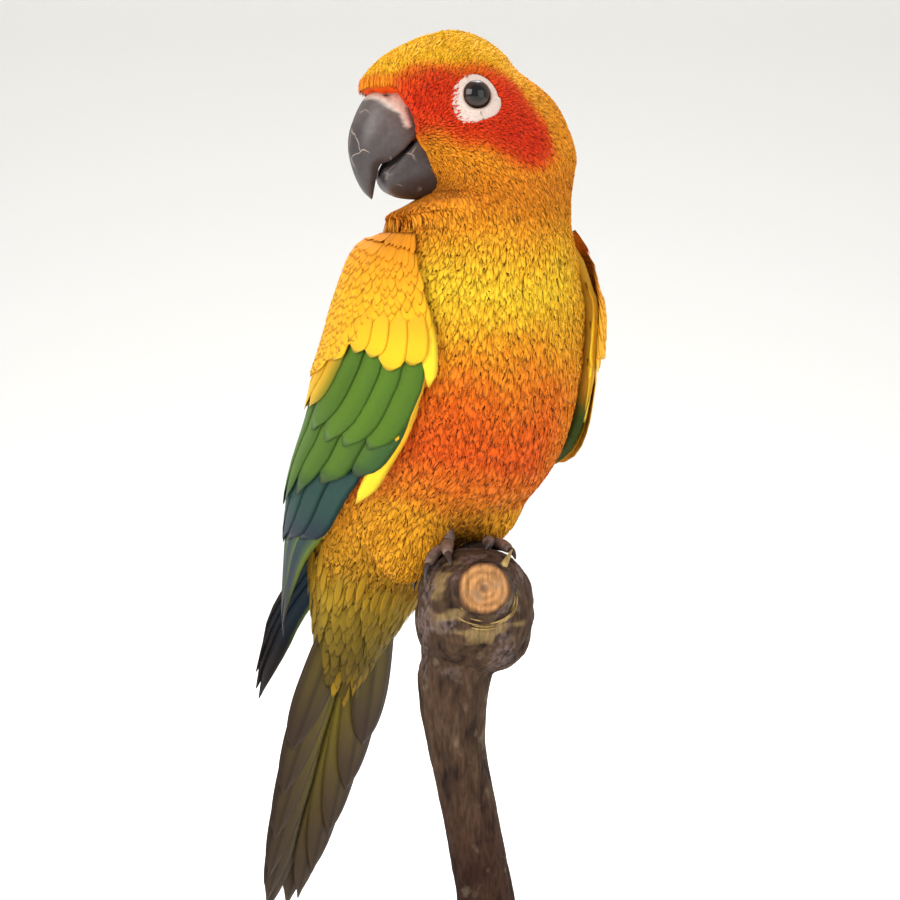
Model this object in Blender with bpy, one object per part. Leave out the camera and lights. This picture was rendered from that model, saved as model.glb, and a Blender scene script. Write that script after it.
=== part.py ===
"""Sun conure gripping a cut perch on a plain display stand: life-size solids in metres, +Z up.

The bird faces forward to its own front, 37 degrees to the right of the -Y axis, and looks back over
its right shoulder. Flesh, wings and tail are all placed by one map: a centre line runs from the crown
down the neck, body and tail, and a point lies at a distance along it, an angle round it and a lift
above the skin. Angle 0 is the bird's front, 90 degrees its right side and 180 its back.
"""

import math

import bpy
import numpy as np

# Driving dimensions in millimetres, and angles in degrees
MM = 0.001
GAP = 0.3
BODY_YAW = -53.0
HEAD_TURN = 105.0
CAP_HEIGHT = 28.0
CAP_POWER = 2.5

# Centre line of the bird: height, x, y, then how far the skin lies in front, behind and to the side,
# and how far the section is turned to the bird's right
STATIONS = {
    "crown": (258.8, -7.2, -3.0, 27.4, 19.6, 19.5, 1.0),
    "brow": (248.0, -3.2, -1.9, 27.9, 20.8, 20.0, 1.0),
    "eye": (244.0, -1.6, -1.4, 25.2, 21.0, 20.0, 1.0),
    "lores": (236.0, 1.4, -0.4, 15.8, 25.8, 20.5, 1.0),
    "cheek": (228.0, 4.4, 0.6, 13.4, 28.6, 21.5, 1.0),
    "chin": (220.0, 6.6, 1.4, 15.0, 28.3, 22.0, 1.0),
    "throat": (216.6, 7.3, 1.6, 24.2, 27.5, 22.5, 0.85),
    "neck": (208.5, 8.2, 1.6, 25.6, 26.2, 23.8, 0.5),
    "collar": (203.0, 7.8, 1.6, 25.5, 24.5, 26.4, 0.15),
    "shoulders": (196.0, 6.5, 2.6, 27.5, 25.5, 30.4, 0.0),
    "breast": (184.0, 4.4, 5.5, 30.5, 27.5, 32.8, 0.0),
    "keel": (172.0, 1.8, 9.5, 32.5, 28.5, 33.4, 0.0),
    "belly": (160.0, -1.6, 13.5, 31.5, 28.0, 34.0, 0.0),
    "flank": (148.0, -7.0, 18.5, 26.5, 25.5, 31.6, 0.0),
    "vent": (136.0, -13.5, 24.5, 19.5, 21.5, 28.0, 0.0),
    "rump": (126.0, -18.0, 29.5, 16.0, 17.5, 24.0, 0.0),
    "tail_root": (112.0, -23.5, 35.0, 12.5, 11.5, 17.5, 0.0),
    "tail_coverts": (98.0, -27.6, 39.5, 8.0, 7.0, 12.0, 0.0),
    "tail_end": (84.0, -31.2, 44.0, 4.0, 3.5, 6.0, 0.0),
}

# Where the flesh is parted, as heights on the centre line
PARTINGS = {"head": 213.0, "neck": 199.5, "torso": 160.0, "belly": 134.0, "rump": 112.0}
COLUMNS = 32
RING_STEP = 4.8

# Eyes and bill, in the head's own directions
HEAD_ORIGIN = (2.65, 0.0, 236.1)
HEAD_AZIMUTH = -160.0
EYE_AHEAD = 2.4
EYE_UP = 5.3
EYE_RADIUS = 4.6
EYE_SIDE = 16.5
LID_RADIUS = 4.5
LID_THICKNESS = 1.3

# Perch: a knob on a stem
KNOB_CENTRE = (6.6, 6.0, 107.0)
KNOB_HALF = (15.6, 21.0, 16.8)
KNOB_POWER = 2.4
STEM = (
    (10.6, 2.0, 24.0, 7.9),
    (8.6, 2.0, 36.0, 7.7),
    (5.0, 2.0, 55.0, 7.4),
    (1.2, 2.5, 76.0, 8.2),
    (1.0, 3.0, 88.0, 9.8),
    (4.0, 4.5, 100.0, 11.0),
)
CUT_FACE = (8.7, -20.5, 114.5)
CUT_RADIUS = 6.9

# Stand
BASE_RADIUS = 64.0
BASE_THICKNESS = 8.0
ROD_RADIUS = 3.0
ROD_TOP = 23.7

def unit(v):
    v = np.asarray(v, float)
    return v / np.linalg.norm(v, axis=-1, keepdims=True)


def azimuth(degrees):
    return np.array([math.cos(math.radians(degrees)), math.sin(math.radians(degrees)), 0.0])


def hermite(knots, values, at):
    """A smooth curve through the values: cubic between knots, with slopes from their neighbours."""
    knots = np.asarray(knots, float)
    values = np.asarray(values, float)
    at = np.asarray(at, float)
    slopes = np.gradient(values, knots, axis=0)
    i = np.clip(np.searchsorted(knots, at) - 1, 0, len(knots) - 2)
    span = knots[i + 1] - knots[i]
    t = (at - knots[i]) / span
    if values.ndim > 1:
        t = t[..., None]
        span = span[..., None]
    t2 = t * t
    t3 = t2 * t
    return ((2 * t3 - 3 * t2 + 1) * values[i] + (t3 - 2 * t2 + t) * span * slopes[i]
            + (3 * t2 - 2 * t3) * values[i + 1] + (t3 - t2) * span * slopes[i + 1])


FRONT = azimuth(BODY_YAW)
ROWS = np.array(list(STATIONS.values()))
CENTRES = ROWS[:, [1, 2, 0]]
ALONG = np.concatenate([[0.0], np.cumsum(np.linalg.norm(np.diff(CENTRES, axis=0), axis=1))])


def along(height):
    """Distance down the centre line at which it passes a height."""
    return float(np.interp(-height, -CENTRES[:, 2], ALONG))


TAIL_END = float(ALONG[-1])


def distances(height):
    """Distances down the centre line at heights, also past the line's end, where it runs on straight."""
    height = np.asarray(height, float)
    down = unit(CENTRES[-1] - CENTRES[-2])
    past = np.clip(CENTRES[-1, 2] - height, 0, None) / -down[2]
    return np.interp(-height, -CENTRES[:, 2], ALONG) + past


def frame_at(s):
    """Centre, direction down the line, the front side and the right side, at distances s."""
    s = np.asarray(s, float)
    step = 0.5
    inside = np.clip(s, 0.0, TAIL_END)
    centre = hermite(ALONG, CENTRES, inside)
    ahead = hermite(ALONG, CENTRES, np.clip(inside + step, 0.0, TAIL_END))
    behind = hermite(ALONG, CENTRES, np.clip(inside - step, 0.0, TAIL_END))
    down = unit(ahead - behind)
    centre = centre + (s - inside)[..., None] * down
    front = unit(FRONT - (down @ FRONT)[..., None] * down)
    right = np.cross(down, front)
    return centre, down, front, right


def skin_radius(s, angle):
    """Distance of the skin from the centre line: half ellipses, longer or shorter to front and back."""
    s = np.asarray(s, float)
    sizes = hermite(ALONG, ROWS[:, 3:7], np.clip(s, 0.0, TAIL_END))
    turn = np.radians(HEAD_TURN) * sizes[..., 3]
    c = np.cos(angle - turn)
    reach = np.where(c > 0, sizes[..., 0], sizes[..., 1])
    radius = 1.0 / np.sqrt((c / reach) ** 2 + (np.sin(angle - turn) / sizes[..., 2]) ** 2)
    rise = np.clip(1.0 - s / CAP_HEIGHT, 0.0, 1.0)
    return radius * (1.0 - rise ** CAP_POWER) ** (1.0 / CAP_POWER)


def place(s, angle, radius):
    """The point at a distance down the line, an angle round it and a radius out from it."""
    centre, down, front, right = frame_at(s)
    c = np.cos(angle)[..., None]
    n = np.sin(angle)[..., None]
    return centre + np.asarray(radius)[..., None] * (c * front + n * right)


def skin(s, angle, lift=0.0):
    s, angle = np.broadcast_arrays(np.asarray(s, float), np.asarray(angle, float))
    return place(s, angle, skin_radius(s, angle) + lift)


def material(name, colour, roughness=0.6, metallic=0.0):
    """A Principled material from an sRGB hex colour."""
    found = bpy.data.materials.get(name)
    if found:
        return found
    made = bpy.data.materials.new(name)
    made.use_nodes = True
    shader = made.node_tree.nodes["Principled BSDF"]
    srgb = [int(colour[i:i + 2], 16) / 255 for i in (1, 3, 5)]
    linear = [c / 12.92 if c <= 0.04045 else ((c + 0.055) / 1.055) ** 2.4 for c in srgb]
    shader.inputs["Base Color"].default_value = (*linear, 1.0)
    shader.inputs["Roughness"].default_value = roughness
    shader.inputs["Metallic"].default_value = metallic
    return made


def solid(name, points, faces, finish=None):
    """An object from points in millimetres and its faces, with the faces turned outwards."""
    points = np.asarray(points, float)
    faces = [tuple(int(i) for i in f) for f in faces]
    volume = 0.0
    for f in faces:
        for k in range(1, len(f) - 1):
            volume += np.dot(points[f[0]], np.cross(points[f[k]], points[f[k + 1]]))
    if volume < 0:
        faces = [f[::-1] for f in faces]
    mesh = bpy.data.meshes.new(name)
    mesh.from_pydata((points * MM).tolist(), [], faces)
    mesh.validate()
    obj = bpy.data.objects.new(name, mesh)
    bpy.context.scene.collection.objects.link(obj)
    if finish:
        mesh.materials.append(finish)
    mesh.shade_smooth()
    mesh.set_sharp_from_angle(angle=math.radians(40))
    return obj


def loft(rings, ends=(None, None)):
    """Points and triangles of rings joined in order and closed at both ends by a fan to its middle."""
    rings = [np.asarray(r, float) for r in rings]
    n = len(rings[0])
    points = np.concatenate(rings)
    faces = []
    for k in range(len(rings) - 1):
        for j in range(n):
            a = k * n + j
            b = k * n + (j + 1) % n
            faces.append((a, b, b + n))
            faces.append((a, b + n, a + n))
    first = len(points)
    caps = [rings[0].mean(0) if ends[0] is None else ends[0],
            rings[-1].mean(0) if ends[1] is None else ends[1]]
    points = np.concatenate([points, caps])
    last = (len(rings) - 1) * n
    for j in range(n):
        faces.append((first, (j + 1) % n, j))
        faces.append((first + 1, last + j, last + (j + 1) % n))
    return points, faces


def evaluated(obj):
    """Replaces the object's mesh by the one its modifiers give, and removes them."""
    bpy.context.view_layer.update()
    graph = bpy.context.evaluated_depsgraph_get()
    mesh = bpy.data.meshes.new_from_object(obj.evaluated_get(graph))
    obj.modifiers.clear()
    old = obj.data
    obj.data = mesh
    bpy.data.meshes.remove(old)
    mesh.name = obj.name


def drop(objects):
    for o in objects:
        bpy.data.objects.remove(o, do_unlink=True)


def boolean(obj, others, operation, solver="EXACT"):
    """One Boolean of an object with a collection of closed meshes, applied, with the others removed."""
    group = bpy.data.collections.new("operands")
    bpy.context.scene.collection.children.link(group)
    for o in others:
        group.objects.link(o)
    step = obj.modifiers.new("join", "BOOLEAN")
    step.operation = operation
    step.operand_type = "COLLECTION"
    step.collection = group
    step.solver = solver
    evaluated(obj)
    drop(others)
    bpy.data.collections.remove(group)
    keep_largest(obj)
    return obj


def keep_largest(obj):
    """Keeps only the largest closed surface of an object's mesh."""
    mesh = obj.data
    count = len(mesh.vertices)
    points = np.empty(count * 3, np.float32)
    mesh.vertices.foreach_get("co", points)
    points = points.reshape(-1, 3)
    edges = np.empty(len(mesh.edges) * 2, np.int32)
    mesh.edges.foreach_get("vertices", edges)
    edges = edges.reshape(-1, 2)
    label = np.arange(count)
    while True:
        low = np.minimum(label[edges[:, 0]], label[edges[:, 1]])
        new = label.copy()
        np.minimum.at(new, edges[:, 0], low)
        np.minimum.at(new, edges[:, 1], low)
        new = new[new]
        if (new == label).all():
            break
        label = new
    sizes = {}
    for island in np.unique(label):
        own = points[label == island]
        sizes[island] = float(np.prod(own.max(0) - own.min(0) + 1e-9))
    if len(sizes) == 1:
        return
    best = max(sizes, key=sizes.get)
    keep = [tuple(p.vertices) for p in mesh.polygons if label[p.vertices[0]] == best]
    used = sorted({i for f in keep for i in f})
    index = {old: new for new, old in enumerate(used)}
    fresh = bpy.data.meshes.new(mesh.name)
    fresh.from_pydata([tuple(points[i]) for i in used], [], [tuple(index[i] for i in f) for f in keep])
    for finish in mesh.materials:
        fresh.materials.append(finish)
    obj.data = fresh
    bpy.data.meshes.remove(mesh)


def ellipsoid(centre, half, directions=None, columns=16, rows=10):
    """Points and faces of an ellipsoid whose half axes lie along three directions."""
    directions = np.eye(3) if directions is None else np.asarray(directions, float)
    rings = []
    turn = np.linspace(0, 2 * np.pi, columns, endpoint=False)
    for k in range(1, rows):
        polar = np.pi * k / rows
        local = np.stack([half[0] * np.sin(polar) * np.cos(turn), half[1] * np.sin(polar) * np.sin(turn),
                          np.full(columns, half[2] * np.cos(polar))], axis=1)
        rings.append(np.asarray(centre) + local @ directions)
    top = np.asarray(centre) + half[2] * directions[2]
    low = np.asarray(centre) - half[2] * directions[2]
    return loft(rings, (top, low))


# Flesh
def flesh_rings(start, end, lift=0.0, columns=COLUMNS):
    """Rings of skin from one distance to another, close together on the crown and at the ends."""
    count = max(2, int(round((end - start) / RING_STEP)) + 1)
    if start <= 0.0:
        share = np.linspace(0, 1, count + 3)[1:]
        stops = start + (end - start) * (0.45 * share ** 2 + 0.55 * share)
    else:
        stops = np.linspace(start, end, count)
    angle = np.linspace(0, 2 * np.pi, columns, endpoint=False)
    return [skin(np.full(columns, s), angle, lift) for s in stops]


def flesh_solid(name, start, end, finish=None, lift=0.0):
    rings = flesh_rings(start, end, lift)
    centre = frame_at(np.array([start, end]))[0]
    centre[0, 2] += lift
    points, faces = loft(rings, (centre[0], centre[1]))
    return solid(name, points, faces, finish)


# Head directions
AHEAD = azimuth(HEAD_AZIMUTH)
LEFT = azimuth(HEAD_AZIMUTH + 90)
UP = np.array([0.0, 0.0, 1.0])


def head_point(ahead, left, up):
    return np.asarray(HEAD_ORIGIN) + ahead * AHEAD + left * LEFT + up * UP


# Bill: each half is an outer curve and an inner curve in the head's middle plane, and a half width
UPPER_OUTER = ((20.5, 9.5), (26.3, 6.2), (30.0, -0.8), (30.8, -7.1), (29.4, -13.4), (27.2, -18.1),
               (24.7, -20.6))
UPPER_INNER = ((9.5, -1.5), (13.5, -3.4), (17.8, -8.0), (21.2, -10.8), (23.4, -11.8), (24.0, -15.0),
               (24.4, -19.8))
UPPER_HALF = (7.4, 7.9, 7.5, 6.4, 4.8, 2.8, 0.5)
LOWER_OUTER = ((6.5, -19.3), (12.5, -20.2), (18.0, -19.8), (21.4, -18.0), (22.9, -14.9))
LOWER_INNER = ((7.5, -3.2), (12.4, -4.4), (16.0, -7.9), (19.6, -11.5), (22.2, -12.7))
LOWER_HALF = (6.4, 6.6, 6.3, 5.4, 3.8)
MANDIBLE_ROWS = 15
MANDIBLE_SIDE = 8


def mandible(outer, inner, half, grow=0.0):
    """Rings of one half of the bill: a rounded ridge on the outer curve, flat sides and an open face."""
    t = np.linspace(0, 1, MANDIBLE_ROWS)
    knots = np.linspace(0, 1, len(half))
    rim = hermite(knots, outer, t)
    edge = hermite(knots, inner, t)
    wide = hermite(knots, half, t)
    across = rim - edge
    size = np.linalg.norm(across, axis=1)[:, None]
    out = across / size
    rim = rim + grow * out
    edge = edge - grow * out
    along_rim = unit(np.gradient(rim, axis=0))
    rim[0] -= grow * along_rim[0]
    edge[0] -= grow * along_rim[0]
    rim[-1] += grow * along_rim[-1]
    edge[-1] += grow * along_rim[-1]
    share = np.linspace(0, 1, MANDIBLE_SIDE)
    belly = np.sqrt(np.clip(1 - (1 - np.minimum(share / 0.62, 1.0)) ** 2, 0, 1)) * (1 - 0.22 * share ** 3)
    rings = []
    for k in range(MANDIBLE_ROWS):
        side = []
        for v, b in zip(share, belly):
            p = rim[k] * (1 - v) + edge[k] * v
            side.append((p[0], b * (wide[k] + grow), p[1]))
        left = np.array(side)
        right = left[:0:-1] * (1, -1, 1)
        rings.append(np.array([head_point(*p) for p in np.concatenate([left, right])]))
    return loft(rings)


NOSTRIL = (19.6, 4.9, 8.6)
NOSTRIL_RADIUS = 1.0


def build_head():
    yellow = material("head_feathers", "#e8862c", 0.75)
    horn = material("bill_horn", "#544a47", 0.45)
    head = flesh_solid("head", 0.0, along(PARTINGS["head"]) - GAP / 2, yellow)
    cutters = []
    for name, outer, inner, half in (("bill_upper", UPPER_OUTER, UPPER_INNER, UPPER_HALF),
                                     ("bill_lower", LOWER_OUTER, LOWER_INNER, LOWER_HALF)):
        solid(name, *mandible(outer, inner, half), horn)
        cutters.append(solid(name + "_room", *mandible(outer, inner, half, GAP)))
    lids = []
    for name, side in (("eye_left", 1), ("eye_right", -1)):
        centre = head_point(EYE_AHEAD, side * EYE_SIDE, EYE_UP)
        solid(name, *ellipsoid(centre, (EYE_RADIUS,) * 3, columns=16, rows=9),
              material("eye", "#2a1a14", 0.1))
        cutters.append(solid(name + "_room", *ellipsoid(centre, (EYE_RADIUS + GAP,) * 3, columns=16,
                                                        rows=9)))
        out = unit(side * LEFT + 0.18 * UP + 0.1 * AHEAD)
        lids.append(ring_around("lid", centre + 2.4 * out, out, LID_RADIUS, LID_THICKNESS))
    boolean(head, lids, "UNION")
    boolean(head, cutters, "DIFFERENCE")
    pits = []
    for side in (1, -1):
        centre = head_point(NOSTRIL[0], side * (NOSTRIL[1] + 1.4), NOSTRIL[2])
        pits.append(solid("pit", *ellipsoid(centre, (NOSTRIL_RADIUS,) * 3, columns=10, rows=6)))
    boolean(bpy.data.objects["bill_upper"], pits, "DIFFERENCE")


def ring_around(name, centre, out, radius, thick, sides=18, around=5):
    """A ring of round section about an axis, as a closed mesh."""
    first = unit(np.cross(out, UP))
    second = np.cross(out, first)
    points = []
    faces = []
    for k in range(sides):
        a = 2 * np.pi * k / sides
        spoke = math.cos(a) * first + math.sin(a) * second
        for j in range(around):
            b = 2 * np.pi * j / around
            points.append(centre + spoke * (radius + thick * math.cos(b)) + out * thick * math.sin(b))
    for k in range(sides):
        for j in range(around):
            a, b = k * around + j, k * around + (j + 1) % around
            c, d = ((k + 1) % sides) * around + j, ((k + 1) % sides) * around + (j + 1) % around
            faces.append((a, b, d))
            faces.append((a, d, c))
    return solid(name, points, faces)


def build_flesh():
    orange = material("breast_feathers", "#e9a535", 0.75)
    tops = {"neck": "head", "torso": "neck", "belly": "torso", "rump": "belly"}
    for name, above in tops.items():
        flesh_solid(name, along(PARTINGS[above]) + GAP / 2, along(PARTINGS[name]) - GAP / 2, orange)


# Wings
WING_START = {1: 205.0, -1: 209.5}
WING_CLEAR = 0.9
COVERT_DEPTH = {1: 4.2, -1: 6.2}
ROOT_DEPTH = 4.0
WING_ROOT = 178.0
WING_ROOT_END = 152.0
SHOULDER_SLOPE = {1: 2.6, -1: 9.0}
WING_HOVER = ((206.0, 0.0), (170.0, 0.0), (148.0, 0.5), (126.0, 3.4), (108.0, 6.2), (92.0, 8.5), (76.0, 9.5),
              (60.0, 9.5))
CROSS_HOVER = ((206.0, 0.0), (170.0, 0.2), (158.0, 1.0), (148.0, 1.5), (126.0, 4.2), (108.0, 6.5),
               (86.0, 10.0), (60.0, 10.0))


def by_height(table, height):
    """A value read from a table of heights and values, high to low."""
    table = np.array(table)
    return hermite(-table[:, 0], table[:, 1], -np.asarray(height, float))


def wing_radius(s, angle, side):
    """The sheet the wing lies on: the skin, then clear of the rump towards the tips."""
    height = hermite(ALONG, CENTRES[:, 2], np.clip(s, 0, TAIL_END)) - np.clip(s - TAIL_END, 0, None) * 0.92
    hover = by_height(WING_HOVER, height)
    if side < 0:
        hover = hover + by_height(CROSS_HOVER, height)
    return skin_radius(s, angle) + hover


def wing_place(s, angle, lift, side):
    s, angle = np.broadcast_arrays(np.asarray(s, float), np.asarray(angle, float))
    return place(s, side * angle, wing_radius(s, side * angle, side) + lift)


# Angles of the wing's lower edge and of its edge along the back, by height, for the right and left wing
LEAD_ANGLE = {
    1: ((208.5, 84.0), (192.0, 57.0), (178.0, 52.0), (168.0, 53.0), (158.0, 55.0), (142.0, 60.0),
        (132.0, 65.0),
        (110.0, 79.0), (96.0, 90.0), (82.0, 98.0)),
    -1: ((209.5, 72.0), (192.0, 48.0), (178.0, 42.0), (166.0, 50.0), (160.0, 59.0), (154.0, 74.0),
         (148.0, 92.0), (142.0, 104.0),
         (132.0, 118.0), (120.0, 134.0), (110.0, 149.0), (96.0, 170.0), (82.0, 184.0), (68.0, 190.0)),
}
BACK_ANGLE = {
    1: ((208.5, 124.0), (192.0, 152.0), (165.0, 166.0), (142.0, 172.0), (126.0, 173.0), (110.0, 171.0),
        (96.0, 164.0),
        (82.0, 156.0)),
    -1: ((209.5, 124.0), (192.0, 152.0), (165.0, 166.0), (142.0, 172.0), (126.0, 184.0), (110.0, 200.0),
         (96.0, 214.0), (82.0, 226.0), (68.0, 232.0)),
}
# How far the wing's tips are tilted across their width, by height
TIP_TILT = {1: ((209.5, 0.0), (130.0, 0.0), (108.0, 2.5), (82.0, 6.0)),
            -1: ((209.5, 0.0), (130.0, 0.0), (108.0, 2.0), (82.0, 6.0), (68.0, 6.0))}


def patch(name, side, heights, spread, low, high, finish=None, columns=12):
    """A closed sheet on the wing's surface between two heights, low and high above it as functions."""
    rows = len(heights)
    stops = np.array([along(h) for h in heights])
    q = np.linspace(spread[0], spread[1], columns)
    lead = np.radians(by_height(LEAD_ANGLE[side], heights))[:, None]
    back = np.radians(by_height(BACK_ANGLE[side], heights))[:, None]
    angle = lead + (back - lead) * q[None, :]
    s = np.repeat(stops[:, None], columns, axis=1)
    grid_u = np.repeat(np.linspace(0, 1, rows)[:, None], columns, axis=1)
    grid_q = np.repeat(q[None, :], rows, axis=0)
    inner = wing_place(s, angle, low(grid_u, grid_q), side).reshape(-1, 3)
    outer = wing_place(s, angle, high(grid_u, grid_q), side).reshape(-1, 3)
    return solid(name, *sheet(inner, outer, rows, columns), finish)


def sheet(inner, outer, rows, columns):
    """A closed mesh from two grids of points, split into triangles alike on both faces."""
    points = np.concatenate([inner, outer])
    n = rows * columns
    faces = []
    for i in range(rows - 1):
        for j in range(columns - 1):
            a = i * columns + j
            b, c, d = a + 1, a + columns + 1, a + columns
            if (i + j) % 2:
                faces += [(a, b, c), (a, c, d)]
                faces += [(n + a, n + c, n + b), (n + a, n + d, n + c)]
            else:
                faces += [(a, b, d), (b, c, d)]
                faces += [(n + a, n + d, n + b), (n + b, n + d, n + c)]
    rim = [j for j in range(columns)] + [i * columns + columns - 1 for i in range(1, rows)]
    rim += [(rows - 1) * columns + j for j in range(columns - 2, -1, -1)]
    rim += [i * columns for i in range(rows - 2, 0, -1)]
    for k in range(len(rim)):
        a, b = rim[k], rim[(k + 1) % len(rim)]
        faces += [(a, n + a, n + b), (a, n + b, b)]
    return points, faces


def bow(q):
    """0.37 at both edges of the wing and 1 in its middle."""
    return np.sin(np.pi * (0.12 + 0.76 * q))


# Vanes: thickness and the air between two that lie over one another, and a vane's half width by its length
VANE = 0.55
VANE_APART = 0.32
VANE_SHARES = (0.0, 0.3, 0.62, 0.88, 1.0)
VANE_SHAPE = (0.74, 0.98, 1.0, 0.74, 0.18)
TIER_RISE = 2.6
PRIMARY_RISE = {1: 12.0, -1: -11.0}
VANE_LIFT = 1.4
SUNK = {"primaries": 0.0, "secondaries": 1.4, "coverts": 2.0}
# Each tier: how many rises it lies up, half a vane's width against their spacing, the height its vanes
# start at, the shares of their length that hold rows, and for each vane its place across the wing at
# root and tip and the height of its tip
TIERS = {
    "primaries": (0, 0.95, 160.0, (0.0, 0.13, 0.26, 0.39, 0.53, 0.68, 0.83, 0.95, 1.0),
                  ((0.16, 0.24, 83.0), (0.32, 0.36, 85.0), (0.49, 0.5, 90.0), (0.66, 0.64, 98.0),
                   (0.84, 0.8, 110.0))),
    "secondaries": (1, 0.74, 174.0, (0.0, 0.22, 0.46, 0.7, 0.9, 1.0),
                    ((0.10, 0.10, 141.0), (0.27, 0.27, 135.0), (0.44, 0.44, 129.0), (0.60, 0.60, 124.0),
                     (0.76, 0.76, 121.0), (0.90, 0.90, 124.0))),
    "coverts": (2, 0.74, 182.0, (0.0, 0.3, 0.6, 0.87, 1.0),
                ((0.10, 0.10, 171.0), (0.27, 0.27, 169.0), (0.44, 0.44, 163.0), (0.60, 0.60, 154.0),
                 (0.76, 0.76, 152.0), (0.90, 0.90, 150.0))),
}


def wing_vane(side, tier, number, finish=None):
    """One feather of a tier: its width is a share of the wing's, and it leans over the next one down."""
    level, broad, start, shares, vanes = TIERS[tier]
    root, tip, end = vanes[number]
    if tier == "primaries":
        end = end + PRIMARY_RISE[side]
    apart = (vanes[-1][0] - vanes[0][0]) / (len(vanes) - 1)
    half = broad * apart
    u = np.array(shares)[:, None]
    v = np.array([-1.0, 0.0, 1.0])[None, :]
    shape = np.interp(u, VANE_SHARES, VANE_SHAPE)
    height = (start + (end - start) * u) * np.ones_like(v)
    middle = root + (tip - root) * u
    q = middle + v * half * shape
    lead = np.radians(by_height(LEAD_ANGLE[side], height))
    back = np.radians(by_height(BACK_ANGLE[side], height))
    angle = lead + (back - lead) * q
    s = distances(height)
    lean = -(VANE + VANE_APART) * (q - middle) / apart
    tilt = by_height(TIP_TILT[side], height) * (q - 0.5)
    sunk = SUNK[tier] * np.clip(1 - u / 0.3, 0, 1)
    lift = WING_CLEAR + VANE_LIFT + TIER_RISE * level + lean + tilt - sunk
    thick = VANE * (1 - 0.3 * u)
    low = wing_place(s, angle, lift - thick / 2, side).reshape(-1, 3)
    high = wing_place(s, angle, lift + thick / 2, side).reshape(-1, 3)
    return solid("vane", *sheet(low, high, len(shares), 3), finish)


def build_wing(side):
    word = "right" if side > 0 else "left"
    yellow = material("wing_coverts", "#e6b63f", 0.75)
    green = material("wing_flight", "#4f6b2b", 0.7)
    heights = np.linspace(WING_START[side], WING_ROOT, 9)
    slope = SHOULDER_SLOPE[side]
    shell = patch(f"wing_{word}_coverts", side, heights, (0.0, 1.0), lambda u,
                  q: np.full(u.shape, WING_CLEAR),
                  lambda u, q: WING_CLEAR + 0.7 + COVERT_DEPTH[side] * np.sqrt(bow(q) * np.clip(u * slope, 0,
                                                                                                1)), yellow)
    boolean(shell, [wing_vane(side, "coverts", k) for k in range(len(TIERS["coverts"][4]))], "UNION")
    heights = np.linspace(WING_ROOT - 1.2 * GAP, WING_ROOT_END, 8)
    root = patch(f"wing_{word}_flight", side, heights, (0.0, 1.0), lambda u, q: np.full(u.shape, WING_CLEAR),
                 lambda u, q: WING_CLEAR + ROOT_DEPTH * (1 - 0.55 * u), green, 11)
    vanes = [wing_vane(side, tier, k) for tier in ("primaries",
                                                   "secondaries") for k in range(len(TIERS[tier][4]))]
    boolean(root, vanes, "UNION")


# Tail
TAIL_BLOCK_END = 88.0
TAIL_ROOT_HEIGHT = 106.0
# Tail feathers from the middle pair outwards: height of the tip, its place to the side and half width
TAIL_PAIRS = ((14.5, 3.4, 6.8), (18.0, 5.4, 6.6), (26.0, 7.4, 6.5), (38.0, 9.2, 6.4), (52.0, 10.8, 6.4),
              (66.0, 12.0, 6.4))
TAIL_ROOT_SIDE = 0.42
TAIL_TOP = -2.5
MIDLINE = 0.35
UNDERTAIL = ((-46.0, 90.0), (-16.0, 84.0), (16.0, 82.0), (46.0, 90.0), (150.0, 90.0), (210.0, 90.0))
UNDERTAIL_HALF = 5.0


def tail_vane(pair, side):
    """A tail feather as a flat plate, under the one nearer the middle, rounded at its tip."""
    tip, beside, half = TAIL_PAIRS[pair]
    u = np.array(VANE_SHARES)
    shape = np.array(VANE_SHAPE)
    s = distances(TAIL_ROOT_HEIGHT) + (distances(tip) - distances(TAIL_ROOT_HEIGHT)) * u
    middle = beside * (TAIL_ROOT_SIDE + (1 - TAIL_ROOT_SIDE) * u ** 0.7)
    inner = middle - half * shape
    if pair:
        inner = np.maximum(inner, MIDLINE)
    outer = middle + half * shape
    depth = TAIL_TOP + (VANE + VANE_APART) * (pair - (side < 0) * (pair == 0))
    centre, _, front, right = frame_at(s)
    thick = VANE * (1 - 0.3 * u)
    low, high = [], []
    for k in range(len(u)):
        for x in (inner[k], (inner[k] + outer[k]) / 2, outer[k]):
            p = centre[k] + side * x * right[k]
            low.append(p + (depth - thick[k] / 2) * front[k])
            high.append(p + (depth + thick[k] / 2) * front[k])
    return solid("vane", *sheet(np.array(low), np.array(high), len(u), 3))


def covert_vane(angle, tip, half=UNDERTAIL_HALF, start=108.0):
    """A soft feather over the tail's root: its root is sunk in the skin and its tip stands off."""
    u = np.array(VANE_SHARES)[:, None]
    v = np.array([-1.0, 0.0, 1.0])[None, :]
    shape = np.array(VANE_SHAPE)[:, None]
    height = start + (tip - start) * u
    s = distances(height)
    radius = skin_radius(s, np.full(s.shape, math.radians(angle)))
    turn = math.radians(angle) + v * half * shape / (radius + 1.0)
    s = s * np.ones_like(v)
    lift = (-0.7 + 2.0 * u - 0.3 * v ** 2) * np.ones_like(v)
    low = skin(s, turn, lift - VANE / 2).reshape(-1, 3)
    high = skin(s, turn, lift + VANE / 2).reshape(-1, 3)
    return solid("vane", *sheet(low, high, len(VANE_SHARES), 3))


def build_tail():
    olive = material("tail_feathers", "#7c6a3a", 0.7)
    rings = flesh_rings(along(PARTINGS["rump"]) + GAP / 2, along(TAIL_BLOCK_END), 0.0, 20)
    tail = solid("tail", *loft(rings), olive)
    vanes = [tail_vane(pair, side) for pair in range(len(TAIL_PAIRS)) for side in (1, -1)]
    boolean(tail, vanes, "UNION")
    boolean(tail, [covert_vane(angle, tip) for angle, tip in UNDERTAIL], "UNION")


# Perch
def knob_level(p):
    """Below 1 inside the knob, 1 on its surface, above 1 outside."""
    local = np.abs((np.asarray(p, float) - KNOB_CENTRE) / KNOB_HALF)
    return (local ** KNOB_POWER).sum(-1) ** (1 / KNOB_POWER)


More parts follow.
